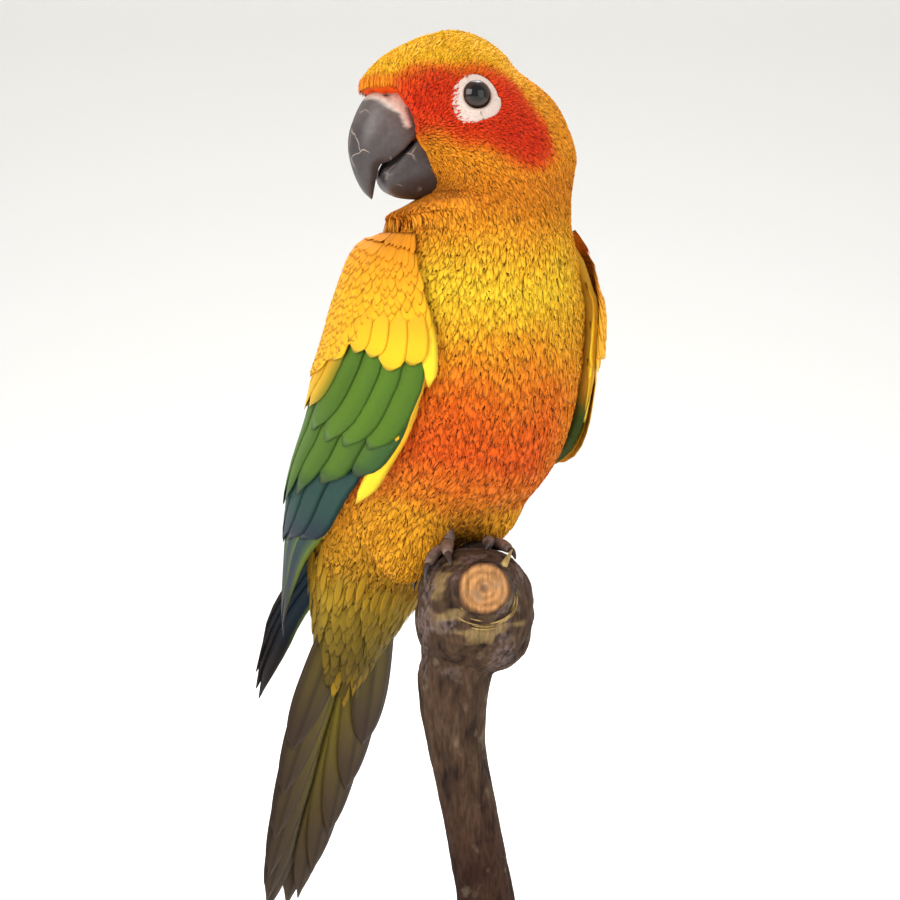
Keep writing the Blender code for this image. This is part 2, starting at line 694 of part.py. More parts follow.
def knob_normal(p):
    step = 0.05
    grad = [knob_level(p + step * e) - knob_level(p - step * e) for e in np.eye(3)]
    return unit(np.array(grad))


def onto_knob(p, lift):
    """Moves a point along the knob's normal until it lies at a lift above the surface."""
    p = np.array(p, float)
    for _ in range(12):
        n = knob_normal(p)
        slope = (knob_level(p + 0.05 * n) - knob_level(p - 0.05 * n)) / 0.1
        p = p + n * (1 - knob_level(p)) / slope
    return p + lift * knob_normal(p)


def build_perch():
    bark = material("bark", "#4b372a", 0.85)
    columns = 20
    turn = np.linspace(0, 2 * np.pi, columns, endpoint=False)
    rings = []
    for k in range(1, 13):
        polar = np.pi * k / 13
        direction = np.stack([np.sin(polar) * np.cos(turn), np.sin(polar) * np.sin(turn),
                              np.full(columns, np.cos(polar))], 1)
        direction = direction * KNOB_HALF
        level = (np.abs(direction / KNOB_HALF) ** KNOB_POWER).sum(1) ** (1 / KNOB_POWER)
        rings.append(np.asarray(KNOB_CENTRE) + direction / level[:, None])
    pole = np.array([0, 0, KNOB_HALF[2]])
    knob = solid("perch", *loft(rings, (KNOB_CENTRE + pole, KNOB_CENTRE - pole)), bark)
    stem = np.array(STEM)
    rings = []
    for height in np.linspace(stem[0, 2], stem[-1, 2], 13):
        x, y, _, r = hermite(stem[:, 2], stem, np.array([height]))[0]
        rings.append(np.stack([x + r * np.cos(turn), y + r * np.sin(turn), np.full(columns, height)], 1))
    stem_obj = solid("stem", *loft(rings), bark)
    rings = []
    turn = np.linspace(0, 2 * np.pi, 20, endpoint=False)
    for y, r in ((CUT_FACE[1], CUT_RADIUS), (CUT_FACE[1] + 3, CUT_RADIUS + 0.4),
                 (CUT_FACE[1] + 8, CUT_RADIUS + 1.6), (-5.0, CUT_RADIUS + 1.8)):
        drop_z = 0.12 * (y - CUT_FACE[1])
        rings.append(np.stack([CUT_FACE[0] + r * np.cos(turn), np.full(20, y),
                               CUT_FACE[2] - drop_z + r * np.sin(turn)], 1))
    stub = solid("stub", *loft(rings), bark)
    boolean(knob, [stem_obj, stub], "UNION")


def knob_room(name, grow):
    """The knob again, a little larger, to keep flesh clear of it."""
    rings = []
    turn = np.linspace(0, 2 * np.pi, 24, endpoint=False)
    for k in range(1, 13):
        polar = np.pi * k / 13
        direction = np.stack([np.sin(polar) * np.cos(turn), np.sin(polar) * np.sin(turn),
                              np.full(24, np.cos(polar))], 1)
        level = (np.abs(direction) ** KNOB_POWER).sum(1) ** (1 / KNOB_POWER)
        surface = np.asarray(KNOB_CENTRE) + direction * KNOB_HALF / level[:, None]
        rings.append(surface + grow * np.array([knob_normal(p) for p in surface]))
    pole = np.array([0, 0, KNOB_HALF[2] + grow])
    return solid(name, *loft(rings, (KNOB_CENTRE + pole, KNOB_CENTRE - pole)))


def tube_rings(path, radii, sides=8):
    """Rings square to a path, with a radius at each point."""
    path = np.asarray(path, float)
    ahead = unit(np.gradient(path, axis=0))
    side = unit(np.cross(ahead, unit(np.cross(ahead, np.array([0.31, 0.22, 0.92])))))
    other = np.cross(ahead, side)
    turn = np.linspace(0, 2 * np.pi, sides, endpoint=False)
    return [p + r * (np.cos(turn)[:, None] * a + np.sin(turn)[:, None] * b) for p, r, a,
            b in zip(path, radii, side, other)]


# Legs and feet: where each foot stands on the knob, and the bearing and length of each toe
FOOT_PLACE = {"right": (-0.4, 4.5), "left": (10.4, 17.0)}
ANKLE_RISE = 8.5
TARSUS_RADIUS = 2.3
TOES = {"right": ((78.0, 9.5), (40.0, 9.0), (205.0, 12.0), (140.0, 10.0)),
        "left": ((40.0, 11.5), (8.0, 11.0), (205.0, 10.5), (158.0, 10.0))}
TOE_RADIUS = (2.0, 1.75, 1.6, 1.55, 1.35, 1.2)
CLAW_LENGTH = 5.2
CLAW_BEND = 0.55
CLAW_RADIUS = (1.05, 0.85, 0.55, 0.2)
THIGH = {"right": ((-12.0, 4.8, 131.5), (10.8, 9.5, 17.0)), "left": ((10.5, 18.0, 134.0), (7.5, 8.0, 9.0))}


def toe_walk(start, bearing, distances, lifts):
    """Points along the knob from a start, heading by a bearing from the bird's front, at given lifts."""
    heading = azimuth(BODY_YAW - bearing)
    p = onto_knob(start, 0.0)
    points = [p + lifts[0] * knob_normal(p)]
    for gone, to, lift in zip(distances[:-1], distances[1:], lifts[1:]):
        n = knob_normal(p)
        heading = unit(heading - (heading @ n) * n)
        p = onto_knob(p + (to - gone) * heading, 0.0)
        points.append(p + lift * knob_normal(p))
    return np.array(points)


def foot_shapes(word, grow=0.0):
    """The tubes of one foot as points and faces: the shank and four toes, and then four claws."""
    x, y = FOOT_PLACE[word]
    ground = onto_knob((x, y, KNOB_CENTRE[2] + KNOB_HALF[2]), 0.0)
    lift = GAP + TOE_RADIUS[0]
    sole = ground + lift * knob_normal(ground)
    ankle = sole + np.array([-1.2, 1.6, ANKLE_RISE])
    radius = TARSUS_RADIUS + grow
    flesh = [loft(tube_rings([sole, sole * 0.5 + ankle * 0.5, ankle + (0, 0, grow)],
                             [radius, radius * 0.92, radius]))]
    claws = []
    for bearing, length in TOES[word]:
        reach = np.linspace(0, length, len(TOE_RADIUS))
        lifts = GAP * 1.4 + np.array(TOE_RADIUS)
        path = toe_walk(ground, bearing, reach, lifts)
        flesh.append(loft(tube_rings(path, np.array(TOE_RADIUS) + grow)))
        end = path[-1]
        ahead = unit(path[-1] - path[-2])
        away = knob_normal(end)
        away = unit(away - (away @ ahead) * ahead)
        bend = np.linspace(0, CLAW_BEND, len(CLAW_RADIUS))[:, None]
        arc = CLAW_LENGTH / CLAW_BEND
        path = end + ahead * (GAP * 1.2 + arc * np.sin(bend)) - away * arc * (1 - np.cos(bend))
        claws.append(loft(tube_rings(path, np.array(CLAW_RADIUS) + grow, 7)))
    return flesh, claws


def build_legs():
    skin_grey = material("foot_skin", "#8f7468", 0.7)
    horn = material("claw_horn", "#4a3f3b", 0.4)
    gold = material("thigh_feathers", "#dfa236", 0.75)
    body_room = flesh_solid("body_room", along(PARTINGS["neck"]), along(PARTINGS["rump"]), None, GAP)
    for word in ("right", "left"):
        flesh, claws = foot_shapes(word)
        pieces = [solid("piece", *shape) for shape in flesh]
        foot = pieces[0]
        foot.name = foot.data.name = f"foot_{word}"
        foot.data.materials.append(skin_grey)
        boolean(foot, pieces[1:], "UNION")
        for number, shape in enumerate(claws, 1):
            solid(f"claw_{word}_{number}", *shape, horn)
        centre, half = THIGH[word]
        thigh = solid(f"thigh_{word}", *ellipsoid(centre, half, columns=14, rows=9), gold)
        rooms = [solid("room", *shape) for shape in sum(foot_shapes(word, GAP), [])]
        copy = body_room.copy()
        copy.data = body_room.data.copy()
        bpy.context.scene.collection.objects.link(copy)
        boolean(thigh, [copy, knob_room("knob_room", GAP)] + rooms, "DIFFERENCE")
    drop([body_room])
    for name in ("belly", "rump"):
        rooms = [knob_room("knob_room", GAP)]
        for word in ("right", "left"):
            rooms += [solid("room", *shape) for shape in sum(foot_shapes(word, GAP), [])]
        boolean(bpy.data.objects[name], rooms, "DIFFERENCE")


def build_stand():
    steel = material("stand_steel", "#9a9a98", 0.35, 1.0)
    wood = material("stand_wood", "#3b2c22", 0.5)
    turn = np.linspace(0, 2 * np.pi, 40, endpoint=False)
    rim = 1.2
    rings = []
    for z, r in ((0.0, BASE_RADIUS - rim / 2), (rim / 2, BASE_RADIUS), (BASE_THICKNESS - rim, BASE_RADIUS),
                 (BASE_THICKNESS, BASE_RADIUS - rim)):
        rings.append(np.stack([r * np.cos(turn), r * np.sin(turn), np.full(40, z)], 1))
    solid("stand_base", *loft(rings), wood)
    turn = np.linspace(0, 2 * np.pi, 16, endpoint=False)
    rings = []
    for z in (BASE_THICKNESS + GAP, ROD_TOP):
        rings.append(np.stack([STEM[0][0] + ROD_RADIUS * np.cos(turn),
                               STEM[0][1] + ROD_RADIUS * np.sin(turn), np.full(16, z)], 1))
    solid("stand_rod", *loft(rings), steel)


def main():
    for o in list(bpy.data.objects):
        bpy.data.objects.remove(o, do_unlink=True)
    build_head()
    build_flesh()
    for side in (1, -1):
        build_wing(side)
    build_tail()
    build_perch()
    build_legs()
    build_stand()


main()
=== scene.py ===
# %% [markdown]
# # A sun conure on a cut perch
# This lesson dresses a still, life-size model of a sun conure, a small parrot of the yellow and orange
# kind, which grips a short length of branch on a plain stand. The frame was built as solids first.
# Here it gets one skin, a coat of solid feathers, a horn bill, wet eyes, scaled feet and bark.
# Sizes are in millimetres until a mesh is made, when they become metres.

# %% Load the frame
import math

import bpy
import numpy as np
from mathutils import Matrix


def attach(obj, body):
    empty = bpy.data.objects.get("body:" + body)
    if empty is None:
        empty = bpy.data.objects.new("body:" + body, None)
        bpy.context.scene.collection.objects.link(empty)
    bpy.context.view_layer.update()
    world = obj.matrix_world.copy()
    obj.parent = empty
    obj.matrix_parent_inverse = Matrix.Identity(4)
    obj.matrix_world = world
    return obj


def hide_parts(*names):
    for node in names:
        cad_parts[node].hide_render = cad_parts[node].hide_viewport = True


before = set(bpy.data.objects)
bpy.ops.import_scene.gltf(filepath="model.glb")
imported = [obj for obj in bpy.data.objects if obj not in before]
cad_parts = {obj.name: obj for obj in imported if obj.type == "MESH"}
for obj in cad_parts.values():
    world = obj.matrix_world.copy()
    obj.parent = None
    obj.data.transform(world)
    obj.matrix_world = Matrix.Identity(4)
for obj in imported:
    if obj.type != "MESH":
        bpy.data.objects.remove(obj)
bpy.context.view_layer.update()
print("nodes", len(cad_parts))

# %% [markdown]
# ## Tools
# Every piece below is a surface worked out with numpy and put into a mesh in one go, which is fast and
# keeps the shape in one formula. A piece gets its material and its body when it is made.

# %% Tools for shapes
MM = 0.001
SEED = 11


def unit(v):
    """Each vector divided by its length."""
    v = np.asarray(v, float)
    return v / np.maximum(np.linalg.norm(v, axis=-1, keepdims=True), 1e-12)


def dot(a, b):
    """The product of each pair of vectors."""
    return np.einsum("...i,...i->...", a, b)


def bell(x, middle, width):
    """1 at the middle, falling off smoothly to both sides."""
    return np.exp(-((x - middle) / width) ** 2)


def circle(count):
    """That many even angles round a circle, in radians."""
    return np.linspace(0, 2 * np.pi, count, endpoint=False)


def ramp(low, high, x):
    """0 below low and 1 above high, with the smooth step 3t squared minus 2t cubed between."""
    t = np.clip((np.asarray(x, float) - low) / (high - low), 0, 1)
    return t * t * (3 - 2 * t)


# Large numbers that stir a place on the lattice into a value without a pattern
HASH = np.array([374761393, 668265263, 2147483647])
STIR = 1274126177


def noise(points, size, seed=0):
    """Soft noise from -1 to 1: random values on a lattice of that size in mm, blended smoothly."""
    p = np.asarray(points, float) / size + 97.3 * seed
    cell = np.floor(p).astype(np.int64)
    t = ramp(0, 1, p - cell)
    total = np.zeros(p.shape[:-1])
    for corner in range(8):
        step = np.array([corner & 1, corner >> 1 & 1, corner >> 2 & 1])
        h = ((cell + step) @ HASH + seed * STIR) & 0xFFFFFFFF
        h = ((h ^ (h >> 13)) * STIR) & 0xFFFFFFFF
        h = (h ^ (h >> 16)) & 0xFFFF
        total += np.where(step, t, 1 - t).prod(axis=-1) * (h / 32767.5 - 1)
    return total


def linear(colour):
    """Linear red, green and blue of an sRGB hex colour, or the colour itself if it is linear already."""
    if not isinstance(colour, str):
        return np.asarray(colour)
    c = np.array([int(colour[i:i + 2], 16) / 255 for i in (1, 3, 5)])
    return np.where(c <= 0.04045, c / 12.92, ((c + 0.055) / 1.055) ** 2.4)


def pure(colour, power=1.18):
    """The same colour made purer: each channel, as a share of the highest one, is raised to a power."""
    colour = np.clip(colour, 1e-4, None)
    top = colour.max(axis=-1, keepdims=True)
    return top * (colour / top) ** power


def blend(first, second, share):
    """Colours mixed by a share from 0 to 1."""
    share = np.asarray(share)[..., None]
    return linear(first) * (1 - share) + linear(second) * share


def stops(x, table):
    """A colour read from a table of (place, hex colour) along x."""
    places = [row[0] for row in table]
    colours = np.array([linear(row[1]) for row in table])
    return np.stack([np.interp(x, places, colours[:, k]) for k in range(3)], axis=-1)


# %% Tools for meshes
def piece(name, points, faces, finish, slot, colours=None, maps=None, replaces=()):
    """An object from points in mm and one array of faces, riding on the model's only body."""
    points = np.asarray(points, np.float64).reshape(-1, 3)
    faces = np.asarray(faces, np.int32).reshape(-1, np.shape(faces)[-1])
    mesh = bpy.data.meshes.new(name)
    mesh.vertices.add(len(points))
    mesh.vertices.foreach_set("co", (points * MM).astype(np.float32).ravel())
    mesh.loops.add(faces.size)
    mesh.loops.foreach_set("vertex_index", faces.ravel())
    mesh.polygons.add(len(faces))
    mesh.polygons.foreach_set("loop_start", np.arange(0, faces.size, faces.shape[1], dtype=np.int32))
    mesh.update(calc_edges=True)
    mesh.shade_smooth()
    if colours is not None:
        rgba = np.ones((len(points), 4), np.float32)
        rgba[:, :3] = np.clip(colours, 0, 1).reshape(-1, 3)
        mesh.attributes.new("Tone", "FLOAT_COLOR", "POINT").data.foreach_set("color", rgba.ravel())
    for key, uv in (maps or {}).items():
        corners = np.reshape(uv, (-1, 2)).astype(np.float32)[faces.ravel()]
        mesh.uv_layers.new(name=key).data.foreach_set("uv", corners.ravel())
    mesh.validate()
    mesh.materials.append(finish)
    obj = bpy.data.objects.new(name, mesh)
    bpy.context.scene.collection.objects.link(obj)
    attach(obj, "root")
    if replaces:
        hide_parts(*replaces)
    print(name, len(points), "points", len(faces) * (faces.shape[1] - 2), "triangles")


def grid_faces(rows, columns, round_trip=True):
    """Quads of a grid of rows, each row closed on itself or open."""
    i = np.arange(rows - 1)[:, None]
    j = np.arange(columns if round_trip else columns - 1)[None, :]
    a = i * columns + j
    b = i * columns + (j + 1) % columns
    return np.stack([a, b, b + columns, a + columns], axis=-1).reshape(-1, 4)


def closed_tube(rings, first=None, last=None):
    """Points and quads of rings joined in order, closed at each end by small rings and a point."""
    rings = np.asarray(rings, float)
    n = rings.shape[1]
    first = rings[0].mean(0) if first is None else np.asarray(first, float)
    last = rings[-1].mean(0) if last is None else np.asarray(last, float)
    points = np.concatenate([rings.reshape(-1, 3), [first, last]])
    quads = grid_faces(len(rings), n)
    a = len(points) - 2
    j = np.arange(0, n, 2)
    end = (len(rings) - 1) * n
    cap_a = np.stack([np.full(len(j), a), (j + 2) % n, (j + 1) % n, j], axis=-1)
    cap_b = np.stack([np.full(len(j), a + 1), end + j, end + (j + 1) % n, end + (j + 2) % n], axis=-1)
    return points, outward(points, np.concatenate([quads, cap_a, cap_b]))


def outward(points, faces):
    """The faces, turned round if the volume that they enclose comes out negative."""
    p = np.asarray(points)[faces]
    volume = sum(dot(p[:, 0], np.cross(p[:, k], p[:, k + 1])).sum() for k in range(1, faces.shape[1] - 1))
    return faces if volume > 0 else faces[:, ::-1]


def joined(tubes):
    """Several closed tubes as one array of points and one of quads."""
    points, faces, start = [], [], 0
    for rings in tubes:
        p, f = closed_tube(rings)
        points.append(p)
        faces.append(f + start)
        start += len(p)
    return np.concatenate(points), np.concatenate(faces)


# %% Tools for materials
# The one setting that each kind of node takes here, and the output that is used when none is named
CHOICE = {"Math": "operation", "VectorMath": "operation", "Attribute": "attribute_name", "UVMap": "uv_map",
          "TexVoronoi": "feature", "Mix": "data_type"}
OUTPUT = {"TexCoord": "Object", "TexNoise": "Fac", "Mix": 2}


def new_material(name, colour="#808080", roughness=0.5, metallic=0.0):
    """A Principled material, a function that adds a node, and one that sets the shader's own inputs."""
    finish = bpy.data.materials.new(name)
    finish.use_nodes = True
    tree = finish.node_tree

    def fill(node, inputs):
        for key, value in inputs.items():
            socket = node.inputs[key if isinstance(key, int) else key.replace("_", " ")]
            if isinstance(value, bpy.types.NodeSocket):
                tree.links.new(value, socket)
            else:
                socket.default_value = value

    def add(kind, *values, choice=None, output=None, **inputs):
        node = tree.nodes.new("ShaderNode" + kind)
        if choice:
            setattr(node, CHOICE[kind], choice)
        fill(node, {**dict(enumerate(values)), **inputs})
        return node.outputs[OUTPUT.get(kind, 0) if output is None else output]

    def give(**inputs):
        fill(tree.nodes["Principled BSDF"], inputs)

    give(Base_Color=(*linear(colour), 1), Roughness=roughness, Metallic=metallic)
    return finish, add, give


def toned(add, shade):
    """The colour attribute, times a shade."""
    return add("VectorMath", add("Attribute", choice="Tone"), choice="SCALE", Scale=shade)


def mix(add, share, first, second):
    """Two colours mixed by a share."""
    node = add("Mix", share, choice="RGBA").node
    for socket, value in ((node.inputs[6], first), (node.inputs[7], second)):
        if isinstance(value, bpy.types.NodeSocket):
            node.id_data.links.new(value, socket)
        else:
            socket.default_value = (*linear(value), 1)
    return node.outputs[2]


# %% [markdown]
# ## The map of the bird
# The bird was laid out on a centre line from crown to tail. Each place has its distance down the line, an
# angle round it and a lift above the skin. The same named values made the solids, so feathers placed by
# this map meet them. Angle 0 is the bird's front and 90 degrees its right side.

# %% The centre line
BODY_YAW = -53.0
HEAD_TURN = 105.0
CAP_HEIGHT = 28.0
CAP_POWER = 2.5
STATIONS = {
    "crown": (258.8, -7.2, -3.0, 27.4, 19.6, 19.5, 1.0),
    "brow": (248.0, -3.2, -1.9, 27.9, 20.8, 20.0, 1.0),
    "eye": (244.0, -1.6, -1.4, 25.2, 21.0, 20.0, 1.0),
    "lores": (236.0, 1.4, -0.4, 15.8, 25.8, 20.5, 1.0),
    "cheek": (228.0, 4.4, 0.6, 13.4, 28.6, 21.5, 1.0),
    "chin": (220.0, 6.6, 1.4, 15.0, 28.3, 22.0, 1.0),
    "throat": (216.6, 7.3, 1.6, 24.2, 27.5, 22.5, 0.85),
    "neck": (208.5, 8.2, 1.6, 25.6, 26.2, 23.8, 0.5),
    "collar": (203.0, 7.8, 1.6, 25.5, 24.5, 26.4, 0.15),
    "shoulders": (196.0, 6.5, 2.6, 27.5, 25.5, 30.4, 0.0),
    "breast": (184.0, 4.4, 5.5, 30.5, 27.5, 32.8, 0.0),
    "keel": (172.0, 1.8, 9.5, 32.5, 28.5, 33.4, 0.0),
    "belly": (160.0, -1.6, 13.5, 31.5, 28.0, 34.0, 0.0),
    "flank": (148.0, -7.0, 18.5, 26.5, 25.5, 31.6, 0.0),
    "vent": (136.0, -13.5, 24.5, 19.5, 21.5, 28.0, 0.0),
    "rump": (126.0, -18.0, 29.5, 16.0, 17.5, 24.0, 0.0),
    "tail_root": (112.0, -23.5, 35.0, 12.5, 11.5, 17.5, 0.0),
    "tail_coverts": (98.0, -27.6, 39.5, 8.0, 7.0, 12.0, 0.0),
    "tail_end": (84.0, -31.2, 44.0, 4.0, 3.5, 6.0, 0.0),
}


def azimuth(degrees):
    """A level direction by its bearing from +X."""
    return np.array([math.cos(math.radians(degrees)), math.sin(math.radians(degrees)), 0.0])


def hermite(knots, values, at):
    """A smooth curve through the values: cubic between knots, with slopes from their neighbours."""
    knots = np.asarray(knots, float)
    values = np.asarray(values, float)
    at = np.asarray(at, float)
    slopes = np.gradient(values, knots, axis=0)
    i = np.clip(np.searchsorted(knots, at) - 1, 0, len(knots) - 2)
    span = knots[i + 1] - knots[i]
    t = (at - knots[i]) / span
    if values.ndim > 1:
        t = t[..., None]
        span = span[..., None]
    t2 = t * t
    t3 = t2 * t
    return ((2 * t3 - 3 * t2 + 1) * values[i] + (t3 - 2 * t2 + t) * span * slopes[i]
            + (3 * t2 - 2 * t3) * values[i + 1] + (t3 - t2) * span * slopes[i + 1])


FRONT = azimuth(BODY_YAW)
ROWS = np.array(list(STATIONS.values()))
CENTRES = ROWS[:, [1, 2, 0]]
ALONG = np.concatenate([[0.0], np.cumsum(np.linalg.norm(np.diff(CENTRES, axis=0), axis=1))])
LINE_END = float(ALONG[-1])


def distances(height):
    """Distances down the centre line at heights, also past the line's end, where it runs on straight."""
    height = np.asarray(height, float)
    down = unit(CENTRES[-1] - CENTRES[-2])
    past = np.clip(CENTRES[-1, 2] - height, 0, None) / -down[2]
    return np.interp(-height, -CENTRES[:, 2], ALONG) + past


# %% A fine table of the line
STEP = 0.25
TABLE_S = np.arange(-16.0, LINE_END + 100.0, STEP)


def line_table():
    """Centre, direction down, front and right sides, and the skin's four sizes at each step."""
    inside = np.clip(TABLE_S, 0.0, LINE_END)
    centre = hermite(ALONG, CENTRES, inside)
    ahead = hermite(ALONG, CENTRES, np.clip(inside + 0.5, 0.0, LINE_END))
    behind = hermite(ALONG, CENTRES, np.clip(inside - 0.5, 0.0, LINE_END))
    down = unit(ahead - behind)
    centre = centre + (TABLE_S - inside)[:, None] * down
    front = unit(FRONT - (down @ FRONT)[:, None] * down)
    right = np.cross(down, front)
    sizes = hermite(ALONG, ROWS[:, 3:7], inside)
    return np.concatenate([centre, down, front, right, sizes], axis=1)


TABLE = line_table()


def line_at(s):
    """The table read at distances s, as centre, down, front, right and sizes."""
    s = np.asarray(s, float)
    flat = np.clip((s.ravel() - TABLE_S[0]) / STEP, 0, len(TABLE_S) - 1.001)
    i = flat.astype(int)
    t = (flat - i)[:, None]
    row = (TABLE[i] * (1 - t) + TABLE[i + 1] * t).reshape(s.shape + (16,))
    return row[..., 0:3], row[..., 3:6], row[..., 6:9], row[..., 9:12], row[..., 12:16]


def skin_radius(s, angle):
    """Distance of the plumage from the line: half ellipses to front and back, closed by a dome."""
    s, angle = np.broadcast_arrays(np.asarray(s, float), np.asarray(angle, float))
    sizes = line_at(np.clip(s, 0, LINE_END))[4]
    turn = np.radians(HEAD_TURN) * sizes[..., 3]
    c = np.cos(angle - turn)
    reach = np.where(c > 0, sizes[..., 0], sizes[..., 1])
    radius = 1.0 / np.sqrt((c / reach) ** 2 + (np.sin(angle - turn) / sizes[..., 2]) ** 2)
    rise = np.clip(1.0 - s / CAP_HEIGHT, 0.0, 1.0)
    return radius * (1.0 - rise ** CAP_POWER) ** (1.0 / CAP_POWER)


def place(s, angle, radius):
    """The point at a distance down the line, an angle round it and a radius out from it."""
    centre, _, front, right, _ = line_at(s)
    return centre + radius[..., None] * (np.cos(angle)[..., None] * front + np.sin(angle)[..., None] * right)


# %% Head directions
HEAD_ORIGIN = np.array([2.65, 0.0, 236.1])
HEAD_AZIMUTH = -160.0
AHEAD = azimuth(HEAD_AZIMUTH)
LEFT = azimuth(HEAD_AZIMUTH + 90)
UP = np.array([0.0, 0.0, 1.0])


def head_point(ahead, left, up):
    """A point of the head by its distances ahead, to the left and up from the head's origin."""
    ahead, left, up = np.broadcast_arrays(*(np.asarray(x, float) for x in (ahead, left, up)))
    return HEAD_ORIGIN + ahead[..., None] * AHEAD + left[..., None] * LEFT + up[..., None] * UP


def head_axes(points):
    """How far points lie ahead, to the left and up in the head."""
    p = points - HEAD_ORIGIN
    return p @ AHEAD, p @ LEFT, p @ UP


# %% [markdown]
# ## Distance from the plumage
# The coat must follow the body everywhere, also over the crown and where a thigh swells out of the
# belly. So the body is also written as a distance: how far a point lies outside the plumage. A feather's
# points are laid out flat and then moved along the slope of this distance until they lie on the body.

# %% Distance and projection
THIGH = {"right": ((-12.0, 4.8, 131.5), (10.8, 9.5, 17.0)), "left": ((10.5, 18.0, 134.0), (7.5, 8.0, 9.0))}
THIGH_BLEND = 5.0


def line_place(points):
    """Distance down the line at which each point lies square to it, found by stepping along the line."""
    height = points[..., 2]
    s = np.interp(-height, -CENTRES[:, 2], ALONG)
    s = s + np.clip(CENTRES[-1, 2] - height, 0, None) - np.clip(height - CENTRES[0, 2], 0, None)
    for _ in range(6):
        centre, down = line_at(s)[:2]
        s = s + 0.9 * dot(points - centre, down)
    return s


def body_level(points):
    """Distance outside the body, from the line and its ellipses."""
    s = line_place(points)
    centre, _, front, right, sizes = line_at(s)
    f = dot(points - centre, front)
    r = dot(points - centre, right)
    turn = np.radians(HEAD_TURN) * sizes[..., 3]
    c = f * np.cos(turn) + r * np.sin(turn)
    n = r * np.cos(turn) - f * np.sin(turn)
    reach = np.where(c > 0, sizes[..., 0], sizes[..., 1])
    level = np.sqrt((c / reach) ** 2 + (n / sizes[..., 2]) ** 2)
    rise = np.clip(1.0 - s / CAP_HEIGHT, 0.0, None)
    level = (level ** CAP_POWER + rise ** CAP_POWER) ** (1 / CAP_POWER)
    return (level - 1) * (reach + sizes[..., 2]) / 2


def thigh_level(points, word):
    """Distance outside one thigh, an upright ellipsoid."""
    centre, half = (np.array(v) for v in THIGH[word])
    q = (points - centre) / half
    k = np.linalg.norm(q, axis=-1)
    return k * (k - 1) / np.maximum(np.linalg.norm(q / half, axis=-1), 1e-9)


def thighs(points):
    """Distance outside the nearer thigh."""
    return np.minimum(thigh_level(points, "right"), thigh_level(points, "left"))


def distance(points):
    """Distance outside the plumage: body and thighs joined by a soft minimum."""
    total = body_level(points)
    for word in THIGH:
        other = thigh_level(points, word)
        near = np.clip(THIGH_BLEND - np.abs(total - other), 0, None) / THIGH_BLEND
        total = np.minimum(total, other) - near * near * THIGH_BLEND / 4
    return total


def slope(points, step=0.4):
    """Outward direction and steepness of the distance at points."""
    base = distance(points)
    grad = np.stack([distance(points + step * e) - base for e in np.eye(3)], axis=-1) / step
    steep = np.linalg.norm(grad, axis=-1)
    return base, grad / np.maximum(steep, 1e-6)[..., None], np.maximum(steep, 0.3)


def onto_body(points, lift, rounds=2):
    """Moves points along the outward direction until they lie at a lift above the plumage."""
    for _ in range(rounds):
        base, out, steep = slope(points)
        points = points + out * ((lift - base) / steep)[..., None]
    return points


def outermost(s, angle, lift=0.0):
    """The outermost point of the plumage on each ray out of the line, by marching in and halving."""
    s, angle = np.broadcast_arrays(np.asarray(s, float), np.asarray(angle, float))
    reach = np.linspace(52.0, 0.0, 27)
    high = np.full(s.shape, reach[0])
    low = np.zeros(s.shape)
    found = np.zeros(s.shape, bool)
    for k in range(1, len(reach)):
        inside = (distance(place(s, angle, np.full(s.shape, reach[k]))) < lift) & ~found
        low = np.where(inside, reach[k], low)
        high = np.where(inside, reach[k - 1], high)
        found |= inside
    for _ in range(7):
        middle = (low + high) / 2
        inside = distance(place(s, angle, middle)) < lift
        low = np.where(inside, middle, low)
        high = np.where(inside, high, middle)
    return place(s, angle, (low + high) / 2)


# %% [markdown]
# ## Markings
# Skin and coat carry the same markings, so that a gap between two feathers never shows a strange colour.
# They are a formula of the place on the bird: a yellow crown, an orange-red mask from bill to ear, a
# gold breast that deepens to orange-red on the belly, and gold thighs and vent. A colour attribute
# carries the result, because the same feathers pass through several colours.

# %% Markings of head and body
CROWN = "#f6c22c"
NAPE = "#f0a92e"
MASK_EDGE = "#ec8424"
MASK_MIDDLE = "#e4561e"
MASK_RED = "#d93c16"
MASK_TOP = ((-20.5, -8.0), (-17.6, 1.3), (-13.2, 6.4), (-6.3, 13.4), (3.0, 14.2), (15.0, 13.0), (32.0, 10.5))
MASK_LOW = ((-20.0, -11.0), (-15.4, -13.5), (-10.7, -14.2), (-3.8, -12.6), (0.6, -9.9), (6.6, -8.0),
            (14.0, -6.0), (32.0, -6.0))
BREAST = ((84.0, "#5f5124"), (95.0, "#7d6a26"), (106.0, "#9c8228"), (116.0, "#c9982a"), (126.0, "#e0a52c"),
          (136.0, "#e8a02c"), (141.0, "#e8862a"), (148.0, "#e46a20"), (158.0, "#e57420"), (167.0, "#ea8c28"),
          (175.0, "#f1ae2e"), (183.0, "#f3c436"), (191.0, "#f6d33c"), (199.0, "#f3c236"), (208.0, "#efaa30"),
          (216.0, "#ee9c2c"), (224.0, "#f0a52e"), (260.0, "#f0a92e"))
MANTLE = ((84.0, "#8a7a2c"), (100.0, "#b98f2c"), (120.0, "#e8952c"), (140.0, "#ea9a2c"), (170.0, "#efae30"),
          (200.0, "#efa42c"), (260.0, "#f0a92e"))


